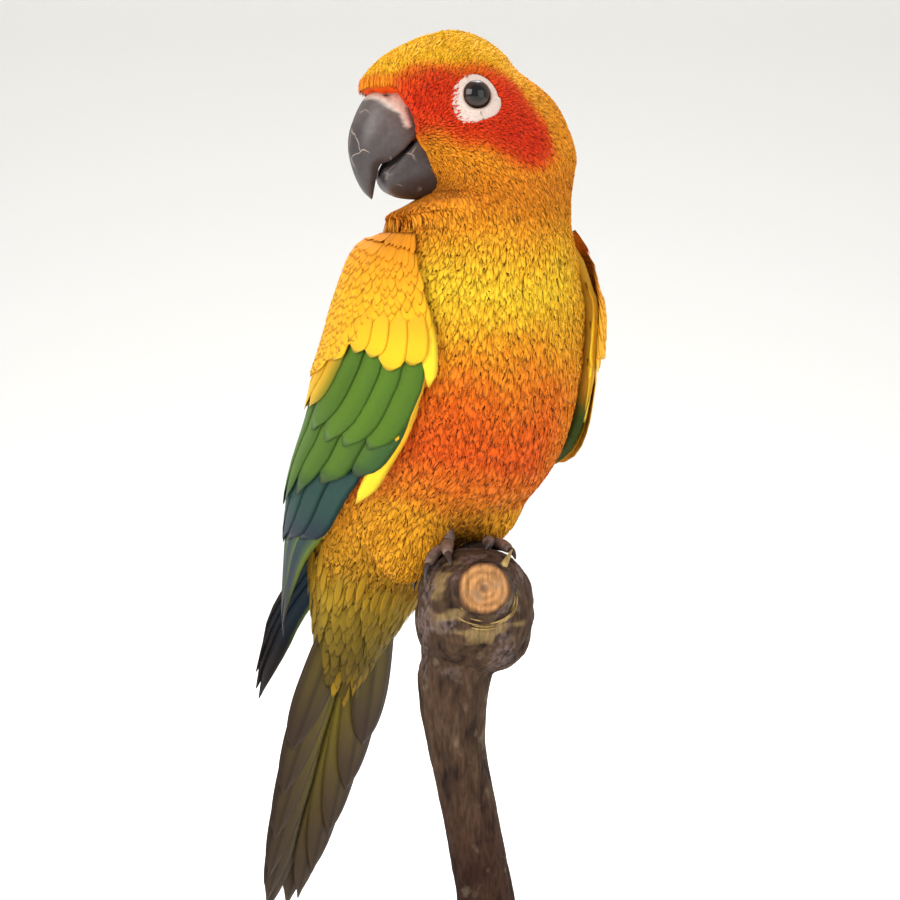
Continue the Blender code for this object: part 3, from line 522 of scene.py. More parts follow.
def markings(points):
    """Linear colours of the plumage at points, from where they lie on the head and the body."""
    centre, _, front, right, _ = line_at(line_place(points))
    to_right = dot(points - centre, right)
    angle = np.degrees(np.abs(np.arctan2(to_right, dot(points - centre, front))))
    height = points[..., 2] + 5.0 * noise(points, 16.0, 3) + 1.5 * noise(points, 4.0, 4)
    body = blend(stops(height, BREAST), stops(height, MANTLE), ramp(95, 125, angle))
    body = blend(body, "#efa42a", 0.6 * ramp(-6, -26, to_right) * ramp(140, 150, height))
    ahead, _, up = head_axes(points)
    wobble = 1.6 * noise(points, 6.0, 5)
    top = np.interp(ahead, *zip(*MASK_TOP)) - up + wobble
    low = up - np.interp(ahead, *zip(*MASK_LOW)) + wobble
    deep = np.minimum(np.minimum(top, low), ahead + 21.5 + wobble)
    crown = blend(NAPE, CROWN, ramp(-2, 12, up) * ramp(-22, 0, ahead))
    head = blend(body, crown, ramp(-4, 8, up + 0.4 * wobble))
    head = blend(head, MASK_EDGE, ramp(-1.5, 2.0, deep))
    head = blend(head, MASK_MIDDLE, ramp(0.8, 4.0, deep))
    head = blend(head, MASK_RED, ramp(3.0, 8.0, deep) * (0.75 + 0.25 * noise(points, 3.0, 6)))
    chin = ramp(6.0, 0.0, np.linalg.norm(points - head_point(17.0, 0.0, -23.0), axis=-1) - 7.0)
    head = blend(head, "#ea8a26", 0.8 * chin)
    colour = blend(body, head, ramp(-20, -14, up))
    return pure(blend(colour, "#e9ab2e", 0.85 * ramp(4.0, 0.0, thighs(points))))


# %% [markdown]
# ## Materials of the plumage
# Feather keratin is matt, with a faint silky sheen. Barbs run slantwise from a feather's shaft, about
# 0.3 mm apart on the real bird. They are drawn 0.5 mm apart here, because finer lines would not show.

# %% Feather and skin materials
BARB_SPACING = 0.5


def feather_material(name, depth, roughness=0.72):
    """Keratin barbs: the colour attribute, shaded by slanted lines from the vane's own map in mm."""
    finish, add, give = new_material(name, roughness=roughness)
    vane = add("UVMap", choice="Vane")
    side = add("Math", add("SeparateXYZ", vane), choice="ABSOLUTE")
    slant = add("Math", side, -1.1, add("SeparateXYZ", vane, output="Y"), choice="MULTIPLY_ADD")
    waves = add("Math", slant, 2 * math.pi / BARB_SPACING, choice="MULTIPLY")
    rough = add("TexNoise", Vector=add("TexCoord"), Scale=900.0, Detail=3.0)
    total = add("Math", add("Math", waves, choice="SINE"), 0.35, rough, choice="MULTIPLY_ADD")
    give(Base_Color=toned(add, add("MapRange", total, -0.1, 1.1, 0.92, 1.07)),
         Normal=add("Bump", Height=total, Strength=0.5, Distance=depth), Specular_IOR_Level=0.12,
         Sheen_Weight=0.03, Sheen_Roughness=0.5)
    return finish


contour_feather = feather_material("contour feather keratin", 0.00012)
flight_feather = feather_material("flight feather keratin", 0.0001, 0.5)


def skin_material():
    """Down and skin under the feathers: the same markings, darker and quite matt."""
    finish, add, give = new_material("feathered skin", roughness=0.9)
    give(Base_Color=toned(add, 0.95), Specular_IOR_Level=0.1)
    return finish


feathered_skin = skin_material()

# %% [markdown]
# ## The skin
# One skin runs from the crown to the tail's root and swells over both thighs, in place of the separate
# solids of flesh, so that no seam shows. It is a grid of rays out of the centre line, each stopped where
# it meets the body, and it lies inside the plumage by the coat's depth, least on the face.

# %% One skin from crown to tail root
SKIN_ROWS = 150
SKIN_COLUMNS = 144
SKIN_END = float(distances(92.0))
# The angle round the line along which rows of skin and feathers are spaced
PROFILE_ANGLE = 0.4


def coat_depth(s):
    """Depth of the coat in mm: least on the head, most on breast and belly."""
    return np.interp(s, [0, 30, 55, 80, 170], [0.8, 0.8, 1.1, 1.5, 1.3])


def profile_stops(count, start=0.6):
    """Distances down the line at even steps of arc, so that rows don't crowd on the crown's dome."""
    s = np.linspace(start, SKIN_END, 1200)
    radius = skin_radius(s, np.full(s.shape, PROFILE_ANGLE))
    arc = np.concatenate([[0], np.cumsum(np.hypot(np.diff(s), np.diff(radius)))])
    return np.interp(np.linspace(0, arc[-1], count), arc, s)


skin_s = profile_stops(SKIN_ROWS)
skin_angle = circle(SKIN_COLUMNS)
grid_s = np.repeat(skin_s[:, None], SKIN_COLUMNS, axis=1)
grid_angle = np.repeat(skin_angle[None, :], SKIN_ROWS, axis=0)
skin_points = outermost(grid_s + coat_depth(grid_s) * (grid_s < 20), grid_angle, -coat_depth(grid_s))
skin_ahead, skin_left, skin_up = head_axes(skin_points)
bill_top = np.interp(skin_ahead, (12.4, 15.7, 19.8, 23.1, 28.0), (-8.0, -4.2, 3.1, 7.5, 8.0))
bill_bed = ramp(0.6, -1.0, skin_up - bill_top) * ramp(-20.0, -18.0, skin_up) * ramp(11.8, 13.0, skin_ahead)
bill_bed = (bill_bed * ramp(16.0, 14.0, np.abs(skin_left)))[..., None]
# The skin draws in behind the bill, to the middle and back, so that it doesn't show past the horn
inward = (np.sign(skin_left) * np.clip(np.abs(skin_left) - 4.5, 0, None))[..., None]
skin_points = skin_points - bill_bed * inward * LEFT - 4.5 * bill_bed * AHEAD
points, faces = closed_tube(skin_points)
uv_skin = np.stack([grid_angle / (2 * np.pi), grid_s / SKIN_END], axis=-1).reshape(-1, 2)
uv_skin = np.concatenate([uv_skin, [[0.5, 0.0], [0.5, 1.0]]])
piece("skin", points, faces, feathered_skin, "body_feathers", markings(points), {"OFBake": uv_skin},
      ("head", "neck", "torso", "belly", "rump", "thigh_left", "thigh_right"))

# %% [markdown]
# ## How a feather is made
# A contour feather is a thin shingle with a rounded, slightly frayed end. Each one here is a closed lens:
# an upper and a lower sheet of a few faces that share their rim. Thousands are worked out in one array.
# They are laid along the lie of the coat and then moved onto the body, so each bends as the body does.

# %% The lens of one feather
def lens_faces(rows, columns):
    """Quads of an upper grid and of a lower one that shares its rim, facing outwards."""
    top = np.arange(rows * columns).reshape(rows, columns)
    low = top.copy()
    low[1:-1, 1:-1] = rows * columns + np.arange((rows - 2) * (columns - 2)).reshape(rows - 2, columns - 2)
    sheets = []
    for g, order in ((top, (0, 3, 2, 1)), (low, (0, 1, 2, 3))):
        corners = np.stack([g[:-1, :-1], g[:-1, 1:], g[1:, 1:], g[1:, :-1]], axis=-1).reshape(-1, 4)
        sheets.append(corners[:, order])
    return np.concatenate(sheets)


def lens_places(rows, columns, tip_power=1.0):
    """For each point of the lens: its share u along, v across from -1 to 1, and 1 above or -1 below."""
    u = np.linspace(0, 1, rows) ** tip_power
    v = np.linspace(-1, 1, columns)
    uu = np.repeat(u[:, None], columns, axis=1)
    vv = np.repeat(v[None, :], rows, axis=0)
    face = np.ones((rows, columns))
    face[0] = face[-1] = 0
    face[:, 0] = face[:, -1] = 0
    inner = (slice(1, -1), slice(1, -1))
    return (np.concatenate([uu.ravel(), uu[inner].ravel()]), np.concatenate([vv.ravel(), vv[inner].ravel()]),
            np.concatenate([face.ravel(), -face[inner].ravel()]))


def outline(u, widest=0.62, base=0.4, end=0.3):
    """A feather's width along its length: growing to its widest place, then rounding off to a blunt end."""
    grow = base + (1 - base) * np.sin(np.clip(u / widest, 0, 1) * np.pi / 2)
    fall = np.sqrt(np.clip(1 - (1 - end ** 2) * (np.clip(u - widest, 0, None) / (1 - widest)) ** 2, 0, 1))
    return grow * fall


def repeated(faces, count, size):
    """The faces of one feather, repeated for each of count feathers of that many points."""
    return (faces[None] + (np.arange(count) * size)[:, None, None]).reshape(-1, 4)


# %% [markdown]
# ## Roots and lie of the coat
# On the head every feather points away from the bill, and on the body down towards the tail. The roots
# stand in staggered rows round the body, closest on the face, as on the real bird.

# %% Roots of the coat
BILL_ROOT = head_point(15.0, 0.0, -5.0)
EYE_AHEAD = 2.4
EYE_UP = 5.3
# Points of the ring on which a row's roots are laid out, and the heights between which a wing hides feathers
RING_POINTS = 97
WING_HIDES = (112.0, 194.0)


def bare_ring(points):
    """Distance outside the bare skin round an eye, a drop shape, widest ahead of and under the eye."""
    ahead, left, up = head_axes(points)
    a = ahead - EYE_AHEAD
    b = up - EYE_UP
    bearing = np.degrees(np.arctan2(b, a))
    reach = 5.3 + 3.2 * bell(bearing, -48, 40) + 1.0 * bell(bearing, -150, 50) + 0.7 * bell(bearing, 20, 30)
    return np.where(np.abs(left) > 8.0, np.hypot(a, b) - reach, 50.0)


def in_bill(points):
    """True where the plumage would lie inside the bill."""
    ahead, left, up = head_axes(points)
    edge = np.interp(ahead, (12.2, 15.7, 19.8, 23.1, 28.0), (-8.0, -4.2, 3.1, 7.3, 7.8))
    return (np.abs(left) < 14.0) & (up > -20.5) & (up < edge) & (ahead > 12.2)


def under_wing(s, angle):
    """True where a folded wing hides the body."""
    height = np.interp(s, ALONG, CENTRES[:, 2])
    bearing = np.degrees(np.angle(np.exp(1j * angle)))
    hidden = np.zeros(bearing.shape, bool)
    for side in (1, -1):
        lead = by_height(LEAD_ANGLE[side], height) + 12
        back = by_height(BACK_ANGLE[side], height) - 8
        hidden |= (side * bearing > lead) & (side * bearing < back)
    return hidden & (height < WING_HIDES[1]) & (height > WING_HIDES[0])


def coat_roots(s_from, s_to, spacing, rng):
    """Roots in staggered rows a spacing apart: points, distances down the line and angles."""
    s_fine = np.linspace(max(s_from, 0.5), s_to, 1600)
    radius = skin_radius(s_fine, np.full(s_fine.shape, PROFILE_ANGLE))
    step = np.hypot(np.gradient(radius), np.gradient(s_fine))
    rank = np.cumsum(step / (0.86 * spacing(s_fine)))
    rows = np.interp(np.arange(rank[0], rank[-1]), rank, s_fine)
    turn = np.linspace(0, 2 * np.pi, RING_POINTS)
    rings = outermost(rows[:, None], turn, -0.2)
    found = []
    for k, s in enumerate(rows):
        arc = np.concatenate([[0], np.cumsum(np.linalg.norm(np.diff(rings[k], axis=0), axis=1))])
        count = max(3, int(arc[-1] / spacing(s)))
        at = (np.arange(count) + 0.5 * (k % 2) + rng.uniform(-0.22, 0.22, count)) / count % 1.0 * arc[-1]
        spot = np.stack([np.interp(at, arc, rings[k][:, i]) for i in range(3)], axis=-1)
        angle = np.interp(at, arc, turn)
        found.append(np.concatenate([spot, np.full((count, 1), s), angle[:, None]], axis=1))
    found = np.concatenate(found)
    return found[:, :3], found[:, 3], found[:, 4]


def lie(points, s, out):
    """Direction of the coat: away from the bill on the head, down the line on the body, flat on the skin."""
    down = line_at(s)[1]
    away = unit(points - BILL_ROOT)
    share = ramp(50, 16, s)[:, None]
    flow = away * share + down * (1 - share)
    droop = ramp(5.0, 0.0, thighs(points))[:, None]
    flow = flow * (1 - droop) + (0.9 * down + np.array([-0.1, 0.25, -0.6])) * droop
    return unit(flow - dot(flow, out)[:, None] * out)


# %% One coat from its roots
# Size of a feather's patch on the OFBake map, and the triangles a piece of coat stays under
PATCH = 0.003
MOST_TRIANGLES = 190000


def coat(name, roots, size, rows, columns, slot, rng, stand, fray):
    """Feathers from roots: length and half width by s, sunk at the root and standing a little at the tip."""
    spot, s, angle = roots
    count = len(s)
    base, out, _ = slope(spot)
    spot = spot - out * base[:, None]
    flow = lie(spot, s, out)
    side = np.cross(out, flow)
    turn = rng.normal(0, 0.13, (count, 1))
    flow, side = flow * np.cos(turn) + side * np.sin(turn), side * np.cos(turn) - flow * np.sin(turn)
    length, half = (x[:, None] for x in size(s, spot))
    length = length * rng.uniform(0.85, 1.15, (count, 1))
    half = half * rng.uniform(0.85, 1.15, (count, 1))
    u, v, face = lens_places(rows, columns)
    frayed = fray * u ** 3 * rng.uniform(-1, 1, (count, len(u)))
    along = length * (u - 0.14 * v ** 2 * u ** 2 + frayed)
    flat = half * (outline(u) * v)
    across = flat + half * 0.1 * u ** 2 * rng.uniform(-1, 1, (count, 1))
    points = spot[:, None] + along[..., None] * flow[:, None] + across[..., None] * side[:, None]
    # Under the chin the feathers stand a little, so that the bill's lower half rests on them
    ahead, _, up = head_axes(spot)
    rim = (ramp(-24.0, -21.5, up) * ramp(-17.5, -19.5, up) * ramp(2.0, 9.0, ahead))[:, None]
    depth = coat_depth(s)[:, None] * (1 - 0.9 * rim)
    lift = -depth + (depth + stand + rng.uniform(-0.08, 0.16, (count, 1))) * u ** 0.7
    lift = lift + 1.2 * rim * (1 - 0.5 * u) + 0.07 * half * (1 - v ** 2)
    lift = lift + (0.025 + 0.007 * length) * face
    points = onto_body(points, lift)
    tint = markings(spot + flow * (0.7 * length)) * (1 + 0.035 * rng.normal(size=(count, 1)))
    patch = np.stack([angle / (2 * np.pi), s / SKIN_END], axis=-1)[:, None]
    patch = patch + PATCH * np.stack([v / 2, u - 0.5], axis=-1)
    maps = {"OFBake": patch, "Vane": np.stack([flat, along], axis=-1)}
    # Each feather is painted darker towards its root, where the feathers above cover it: painted shade
    piece(name, points, repeated(lens_faces(rows, columns), count, len(u)), contour_feather, slot,
          tint[:, None] * (0.94 + 0.07 * u)[:, None], maps)


def keep(roots, chosen):
    """The roots where chosen is true."""
    return tuple(part[chosen] for part in roots)


def coats(name, roots, size, rows, columns, slot, rng, **look):
    """The coat in as many pieces as keep each one under MOST_TRIANGLES, cut along its rows."""
    each = 4 * (rows - 1) * (columns - 1)
    parts = int(math.ceil(len(roots[1]) * each / MOST_TRIANGLES))
    for number, chosen in enumerate(np.array_split(np.arange(len(roots[1])), parts), 1):
        coat(f"{name}_{number}", keep(roots, chosen), size, rows, columns, slot, rng, **look)


# %% [markdown]
# ## The wings' map
# A folded wing lies on a sheet that follows the flank and then stands clear of the rump. A place on it
# has a height and a share q across, from its lower edge to its edge along the back. The tips of the
# left wing cross behind the tail, as the photograph shows. These tables also shaped the solid wings.

# %% The wings' tables
WING_START = {1: 205.0, -1: 209.5}
WING_CLEAR = 0.9
# Rough distances of the wing from the centre line, for a vane's width and for the count of small coverts
VANE_REACH = 26.0
SHOULDER_REACH = 34.0
# Distance below the shoulder's top over which the coverts reach their full depth, before SHOULDER_SLOPE
SHOULDER_RUN = 28.0
COVERT_DEPTH = {1: 4.2, -1: 6.2}
SHOULDER_SLOPE = {1: 2.6, -1: 9.0}
WING_HOVER = ((206.0, 0.0), (170.0, 0.0), (148.0, 0.5), (126.0, 3.4), (108.0, 6.2), (92.0, 8.5), (76.0, 9.5),
              (60.0, 9.5))
CROSS_HOVER = ((206.0, 0.0), (170.0, 0.2), (158.0, 1.0), (148.0, 1.5), (126.0, 4.2), (108.0, 6.5),
               (86.0, 10.0), (60.0, 10.0))


def by_height(table, height):
    """A value read from a table of heights and values, high to low."""
    table = np.array(table)
    return hermite(-table[:, 0], table[:, 1], -np.asarray(height, float))


def wing_radius(s, angle, side):
    """The sheet the wing lies on: the plumage, then clear of the rump towards the tips."""
    height = np.interp(s, ALONG, CENTRES[:, 2]) - np.clip(s - LINE_END, 0, None) * 0.92
    hover = by_height(WING_HOVER, height)
    if side < 0:
        hover = hover + by_height(CROSS_HOVER, height)
    return skin_radius(s, angle) + hover


# Angles of the wing's lower edge and of its edge along the back, by height, for the right and left wing
LEAD_ANGLE = {
    1: ((208.5, 84.0), (192.0, 57.0), (178.0, 52.0), (168.0, 53.0), (158.0, 55.0), (142.0, 60.0),
        (132.0, 65.0), (110.0, 79.0), (96.0, 90.0), (82.0, 98.0)),
    -1: ((209.5, 72.0), (192.0, 48.0), (178.0, 42.0), (166.0, 50.0), (160.0, 59.0), (154.0, 74.0),
         (148.0, 92.0), (142.0, 104.0), (132.0, 118.0), (120.0, 134.0), (110.0, 149.0), (96.0, 170.0),
         (82.0, 184.0), (68.0, 190.0)),
}
BACK_ANGLE = {
    1: ((208.5, 124.0), (192.0, 152.0), (165.0, 166.0), (142.0, 172.0), (126.0, 173.0), (110.0, 171.0),
        (96.0, 164.0), (82.0, 156.0)),
    -1: ((209.5, 124.0), (192.0, 152.0), (165.0, 166.0), (142.0, 172.0), (126.0, 184.0), (110.0, 200.0),
         (96.0, 214.0), (82.0, 226.0), (68.0, 232.0)),
}
# How far the wing's tips are tilted across their width, by height
TIP_TILT = {1: ((209.5, 0.0), (130.0, 0.0), (108.0, 2.5), (82.0, 6.0)),
            -1: ((209.5, 0.0), (130.0, 0.0), (108.0, 2.0), (82.0, 6.0), (68.0, 6.0))}


def bow(q):
    """0.37 at both edges of the wing and 1 in its middle."""
    return np.sin(np.pi * (0.12 + 0.76 * q))


TIER_RISE = 2.6
VANE_LIFT = 1.4


# %% Feathers of one tier of a wing
def on_wing(side, height, q, lift):
    """The point at a height and a share across the wing, at a lift above its sheet."""
    s = distances(height)
    lead, back = (np.radians(by_height(table[side], height)) for table in (LEAD_ANGLE, BACK_ANGLE))
    angle = side * (lead + (back - lead) * q)
    return place(s, angle, wing_radius(s, angle, side) + lift)


def wing_vanes(side, q_root, q_tip, root, tip, half, lift, rows=12, columns=7, sunk=1.0, camber=0.25,
               rise=0.5, widest=0.7, end=0.25, lean=0.5, edges=0.0):
    """Lens vanes on the wing's sheet, a whole tier at once. Each leans over the next one down."""
    given = (np.atleast_1d(np.asarray(x, float)) for x in (q_root, q_tip, root, tip, half))
    q_root, q_tip, root, tip, half = (x[:, None] for x in np.broadcast_arrays(*given))
    u, v, face = lens_places(rows, columns, 0.9)
    flat = outline(u, widest, 0.55, end) * v
    q = q_root + (q_tip - q_root) * u + half * flat
    height = root + (tip - root) * (u - 0.05 * v ** 2 * u ** 3)
    shaft = 0.16 * bell(v, 0, 0.16) * (1 - 0.7 * u)
    up = lift - sunk * np.clip(1 - u / 0.3, 0, 1) + rise * u + camber * (1 - v ** 2) - lean * v + shaft
    up = up + by_height(TIP_TILT[side], height) * (q - 0.5) + 0.16 * face
    up = up - edges * (1 - np.sqrt(bow(np.clip(q, 0, 1))))
    width = half * np.radians(by_height(BACK_ANGLE[side], tip) - by_height(LEAD_ANGLE[side], tip))
    width = width * VANE_REACH
    return on_wing(side, height, q, up), np.stack([width * flat, (root - tip) * u], axis=-1), u, v, q


def wing_piece(name, side, parts, slot, replaces, finish):
    """Joins tiers into one object. Each feather has its own tile on the OFBake map."""
    points, colours, vanes, faces, tiles = [], [], [], [], []
    start = number = 0
    across = int(math.ceil(math.sqrt(sum(len(p[0]) for p in parts))))
    for spots, tint, vane, rows, columns, u, v in parts:
        count, n = spots.shape[:2]
        index = number + np.arange(count)
        corner = np.stack([index % across, index // across], axis=-1)[:, None]
        tile = (corner + 0.06 + 0.88 * np.stack([(v + 1) / 2, u], axis=-1)) / across
        tiles.append(tile.reshape(-1, 2))
        points.append(spots.reshape(-1, 3))
        colours.append(np.broadcast_to(tint, spots.shape).reshape(-1, 3))
        vanes.append(vane.reshape(-1, 2))
        faces.append(repeated(lens_faces(rows, columns), count, n) + start)
        start += count * n
        number += count
    points, colours, vanes, faces, tiles = map(np.concatenate, (points, colours, vanes, faces, tiles))
    piece(name, points, faces[:, ::side], finish, slot, colours, {"OFBake": tiles, "Vane": vanes}, replaces)


# %% Colours of the wing's tiers
YELLOW = "#f2c02c"
GOLD = "#e9b22a"
GREEN = "#547026"
DEEP_GREEN = "#39551f"
OLIVE = "#7c8a22"
NAVY = "#1b2a38"
BLUE_GREEN = "#27443c"
DARK = "#241f20"


def tier(side, rows, columns, tint, **sizes):
    """One tier: its points and its colours, where tint is a function of u, v, q and the feather's number."""
    points, vane, u, v, q = wing_vanes(side, rows=rows, columns=columns, **sizes)
    count = len(points)
    colour = tint(u, v, q, np.arange(count)[:, None])
    if side < 0 and tint in (secondary_tint, greater_covert_tint):
        colour = blend(colour, GOLD, ramp(0.3, 0.2, q))
    colour = colour * (1 + 0.05 * np.random.default_rng(count).normal(size=(count, 1, 1)))
    return points, pure(colour), vane, rows, columns, u, v


def primary_tint(u, v, q, k):
    """Blue-black, with a green edge on the outer web and a yellow-green line along it."""
    base = blend(BLUE_GREEN, NAVY, ramp(0.35, 0.75, u))
    base = blend(base, DARK, ramp(0.72, 0.9, u))
    edge = ramp(0.55, 0.95, v * -1) * ramp(0.95, 0.6, u)
    return blend(base, "#8c9a2e", 0.85 * edge)


def primary_covert_tint(u, v, q, k):
    """Slate blue, darkest at the tip."""
    return blend("#2c4540", "#222c38", ramp(0.5, 0.9, u))


def secondary_tint(u, v, q, k):
    """Green with darker inner web, olive towards the back, and a dark tip on the outermost."""
    base = blend(GREEN, DEEP_GREEN, ramp(0.0, 0.9, np.abs(v)) * 0.6)
    base = blend(base, OLIVE, 0.6 * ramp(0.62, 0.95, q))
    base = blend(base, BLUE_GREEN, 0.45 * ramp(0.12, 0.0, q))
    dark_web = ramp(0.35, 0.75, v) * ramp(0.25, 0.6, u) * ramp(0.6, 0.85, q)
    base = blend(base, "#4a4426", 0.8 * dark_web)
    return blend(base, "#2a3a2c", 0.75 * ramp(0.86, 0.98, u))


def greater_covert_tint(u, v, q, k):
    """Green under the others, yellow from the middle of the wing to the back."""
    yellow = blend(GOLD, YELLOW, ramp(0.3, 0.9, u))
    green = blend(GREEN, DEEP_GREEN, ramp(0.0, 0.9, np.abs(v)) * 0.5)
    share = ramp(0.36, 0.5, q + 0.06 * np.sin(5.1 * k))
    return blend(green, yellow, share)


def covert_tint(u, v, q, k):
    """Yellow, a little olive at the tip of the front ones."""
    base = blend("#edaf2c", YELLOW, ramp(0.2, 0.8, u))
    return blend(base, "#b3a52c", 0.75 * ramp(0.82, 1.0, u) * ramp(0.6, 0.3, q))


def strip_tint(u, v, q, k):
    """Clear yellow."""
    return blend("#f0b62a", "#f2d03c", ramp(0.2, 0.8, u))


# %% [markdown]
# ## The wings
# From above down: small shoulder feathers, yellow coverts with rounded ends, a row that turns green
# towards the breast, green secondaries, slate primary coverts, and dark primaries with green edges.
# A core of plain wing lies under them, so that no gap between feathers looks through the wing.

# %% Core of a wing
def wing_core(side):
    """A closed sheet between the body and the wing's feathers, thickest under the coverts."""
    rows, columns = 26, 22
    u, v, face = lens_places(rows, columns)
    height = np.interp(u, (0, 1), (WING_START[side] - 1.0, 148.0))
    q = np.interp(v, (-1, 1), (0.02, 0.98))
    thick = COVERT_DEPTH[side] * np.sqrt(bow(q) * np.clip(u * 5.0, 0.02, 1)) * ramp(1.1, 0.45, u) + 0.5
    lift = WING_CLEAR - 0.6 + np.where(face < 0, -0.3, 0.8 * thick)
    colour = blend("#c9962a", "#3c521c", ramp(176, 168, height))
    vane = np.stack([q * 40, height], axis=-1)
    return on_wing(side, height, q, lift)[None], colour[None], vane[None], rows, columns, u, v


# %% Tiers of a wing
def small_coverts(side, rng):
    """Rows of small shoulder feathers, growing from 3 mm at the shoulder's top to 8 mm at the last row."""
    start = WING_START[side]
    rows = np.concatenate([[start - 0.6], start - 2.2 - np.cumsum(np.linspace(1.1, 2.1, 22))])
    q_all, top, low, half = [], [], [], []
    for k, height in enumerate(rows):
        length = 3.6 + 0.34 * k
        span = np.radians(by_height(BACK_ANGLE[side], height) - by_height(LEAD_ANGLE[side], height))
        count = max(8, int(span * SHOULDER_REACH / (1.25 + 0.09 * k)))
        q = (np.arange(count) + 0.25 + 0.5 * (k % 2)) / count + rng.normal(0, 0.004, count)
        slant = 3.0 * (q - 0.2) * k / len(rows)
        q_all.append(q)
        top.append(np.full(count, height) - slant)
        low.append(np.full(count, height - length) - 1.4 * slant + rng.normal(0, 0.3, count))
        half.append(np.full(count, 0.6 / count))
    return tuple(np.concatenate(x) for x in (q_all, top, low, half))


# Where the yellow coverts end on the wing, as shares across and heights
COVERT_LINE = ((0.0, 0.16, 0.3, 0.385, 0.49, 0.6, 0.7, 1.0), (180, 178.5, 179, 171, 163, 155, 152, 152))


def build_wing(side, word):
    """All the tiers of one wing, as one piece of large feathers and one of small ones."""
    rng = np.random.default_rng(SEED + side)
    base = WING_CLEAR + VANE_LIFT
    if side > 0:
        q = np.linspace(0.1, 0.88, 9)
        tip = np.interp(q, (0.1, 0.3, 0.5, 0.66, 0.88), (83, 85, 90, 98, 111)) + 12.6
        primaries = tier(side, 16, 7, primary_tint, q_root=q, q_tip=np.linspace(0.2, 0.82, 9), root=160.0,
                         tip=tip, half=0.1, lift=base - 0.3, lean=0.35, widest=0.6, end=0.3)
        slate_q, slate_end, slate_root = (0.08, 0.5), (0.14, 0.5), 150.0
        slate_tip = (126, 122, 119, 118, 120)
        strip_q, strip_end = (0.035, 0.012, -0.005, 0.045), (0.03, 0.0, -0.02, -0.03)
        strip_root, strip_tip, strip_lift = (190, 180, 170, 200), (160, 150, 142, 176), 2.6
    else:
        primaries = tier(side, 20, 9, primary_tint, q_root=np.linspace(0.22, 0.8, 4),
                         q_tip=np.linspace(0.3, 0.62, 4), root=160.0, tip=(69, 72, 77, 86), half=0.17,
                         lift=base - 0.3, lean=0.35, widest=0.86, end=0.42)
        slate_q, slate_end, slate_root = (0.2, 0.6), (0.3, 0.6), 140.0
        slate_tip = (118, 114, 112, 110, 112)
        strip_q, strip_end = (0.035, 0.03, 0.045), (0.05, 0.06, 0.02)
        strip_root, strip_tip, strip_lift = (190, 182, 200), (172, 166, 180), 2.2
    slate = tier(side, 9, 7, primary_covert_tint, q_root=np.linspace(*slate_q, 5),
                 q_tip=np.linspace(*slate_end, 5), root=slate_root, tip=slate_tip, half=0.09,
                 lift=base + 0.5, sunk=0.5, rise=0.3)
    q = np.linspace(0.05 if side > 0 else 0.14, 0.95, 10)
    tip = np.interp(q, (0.05, 0.1, 0.27, 0.44, 0.6, 0.76, 0.9), (148, 144, 134, 127, 122, 120, 123))
    second = tier(side, 14, 9, secondary_tint, q_root=q, q_tip=q, root=176.0, tip=tip, half=0.078, sunk=1.2,
                  lift=base + 0.45 * TIER_RISE, rise=0.5, lean=0.35, widest=0.75, end=0.4, edges=0.8)
    q = np.array([0.045 if side > 0 else 0.1, 0.13, 0.21, 0.3, 0.39, 0.475, 0.56, 0.65, 0.74, 0.83, 0.92])
    tip = np.interp(q, (0.0, 0.16, 0.3, 0.42, 0.6, 0.8, 1.0), (158, 150, 149, 152, 148, 142, 143))
    great = tier(side, 12, 9, greater_covert_tint, q_root=q, q_tip=q + 0.01, root=187.0,
                 tip=tip + rng.normal(0, 1.2, 11), half=0.068, lift=base + 0.75 * TIER_RISE, rise=0.5,
                 lean=0.35, sunk=1.4, end=0.36, edges=1.6)
    q = np.array([0.05, 0.13, 0.21, 0.285, 0.385, 0.47, 0.56, 0.66, 0.76, 0.86, 0.95])
    middle = tier(side, 10, 9, covert_tint, q_root=q, q_tip=q, root=192.0,
                  tip=np.interp(q, *COVERT_LINE) + rng.normal(0, 0.8, 11), half=0.062, sunk=1.6,
                  lift=base + TIER_RISE, rise=0.3, lean=0.3, end=0.42, edges=2.2, camber=0.15)
    strip = tier(side, 12, 5, strip_tint, q_root=strip_q, q_tip=strip_end, root=strip_root, tip=strip_tip,
                 half=0.035, lift=WING_CLEAR + strip_lift, rise=-0.2, lean=-0.4, sunk=1.0)
    q, top, low, half = small_coverts(side, rng)
    low = np.maximum(low, 2.5 + np.interp(q, *COVERT_LINE))
    q, top, low, half = (x[top - low > 2.6] for x in (q, top, low, half))
    wing_piece(f"wing_{word}_large_feathers", side,
               [wing_core(side), primaries, slate, second, great, middle, strip], "flight_feathers",
               (f"wing_{word}_flight",), flight_feather)
    wing_piece(f"wing_{word}_small_feathers", side, [small_tier(side, q, top, low, half, rng)],
               "covert_feathers", (f"wing_{word}_coverts",), contour_feather)


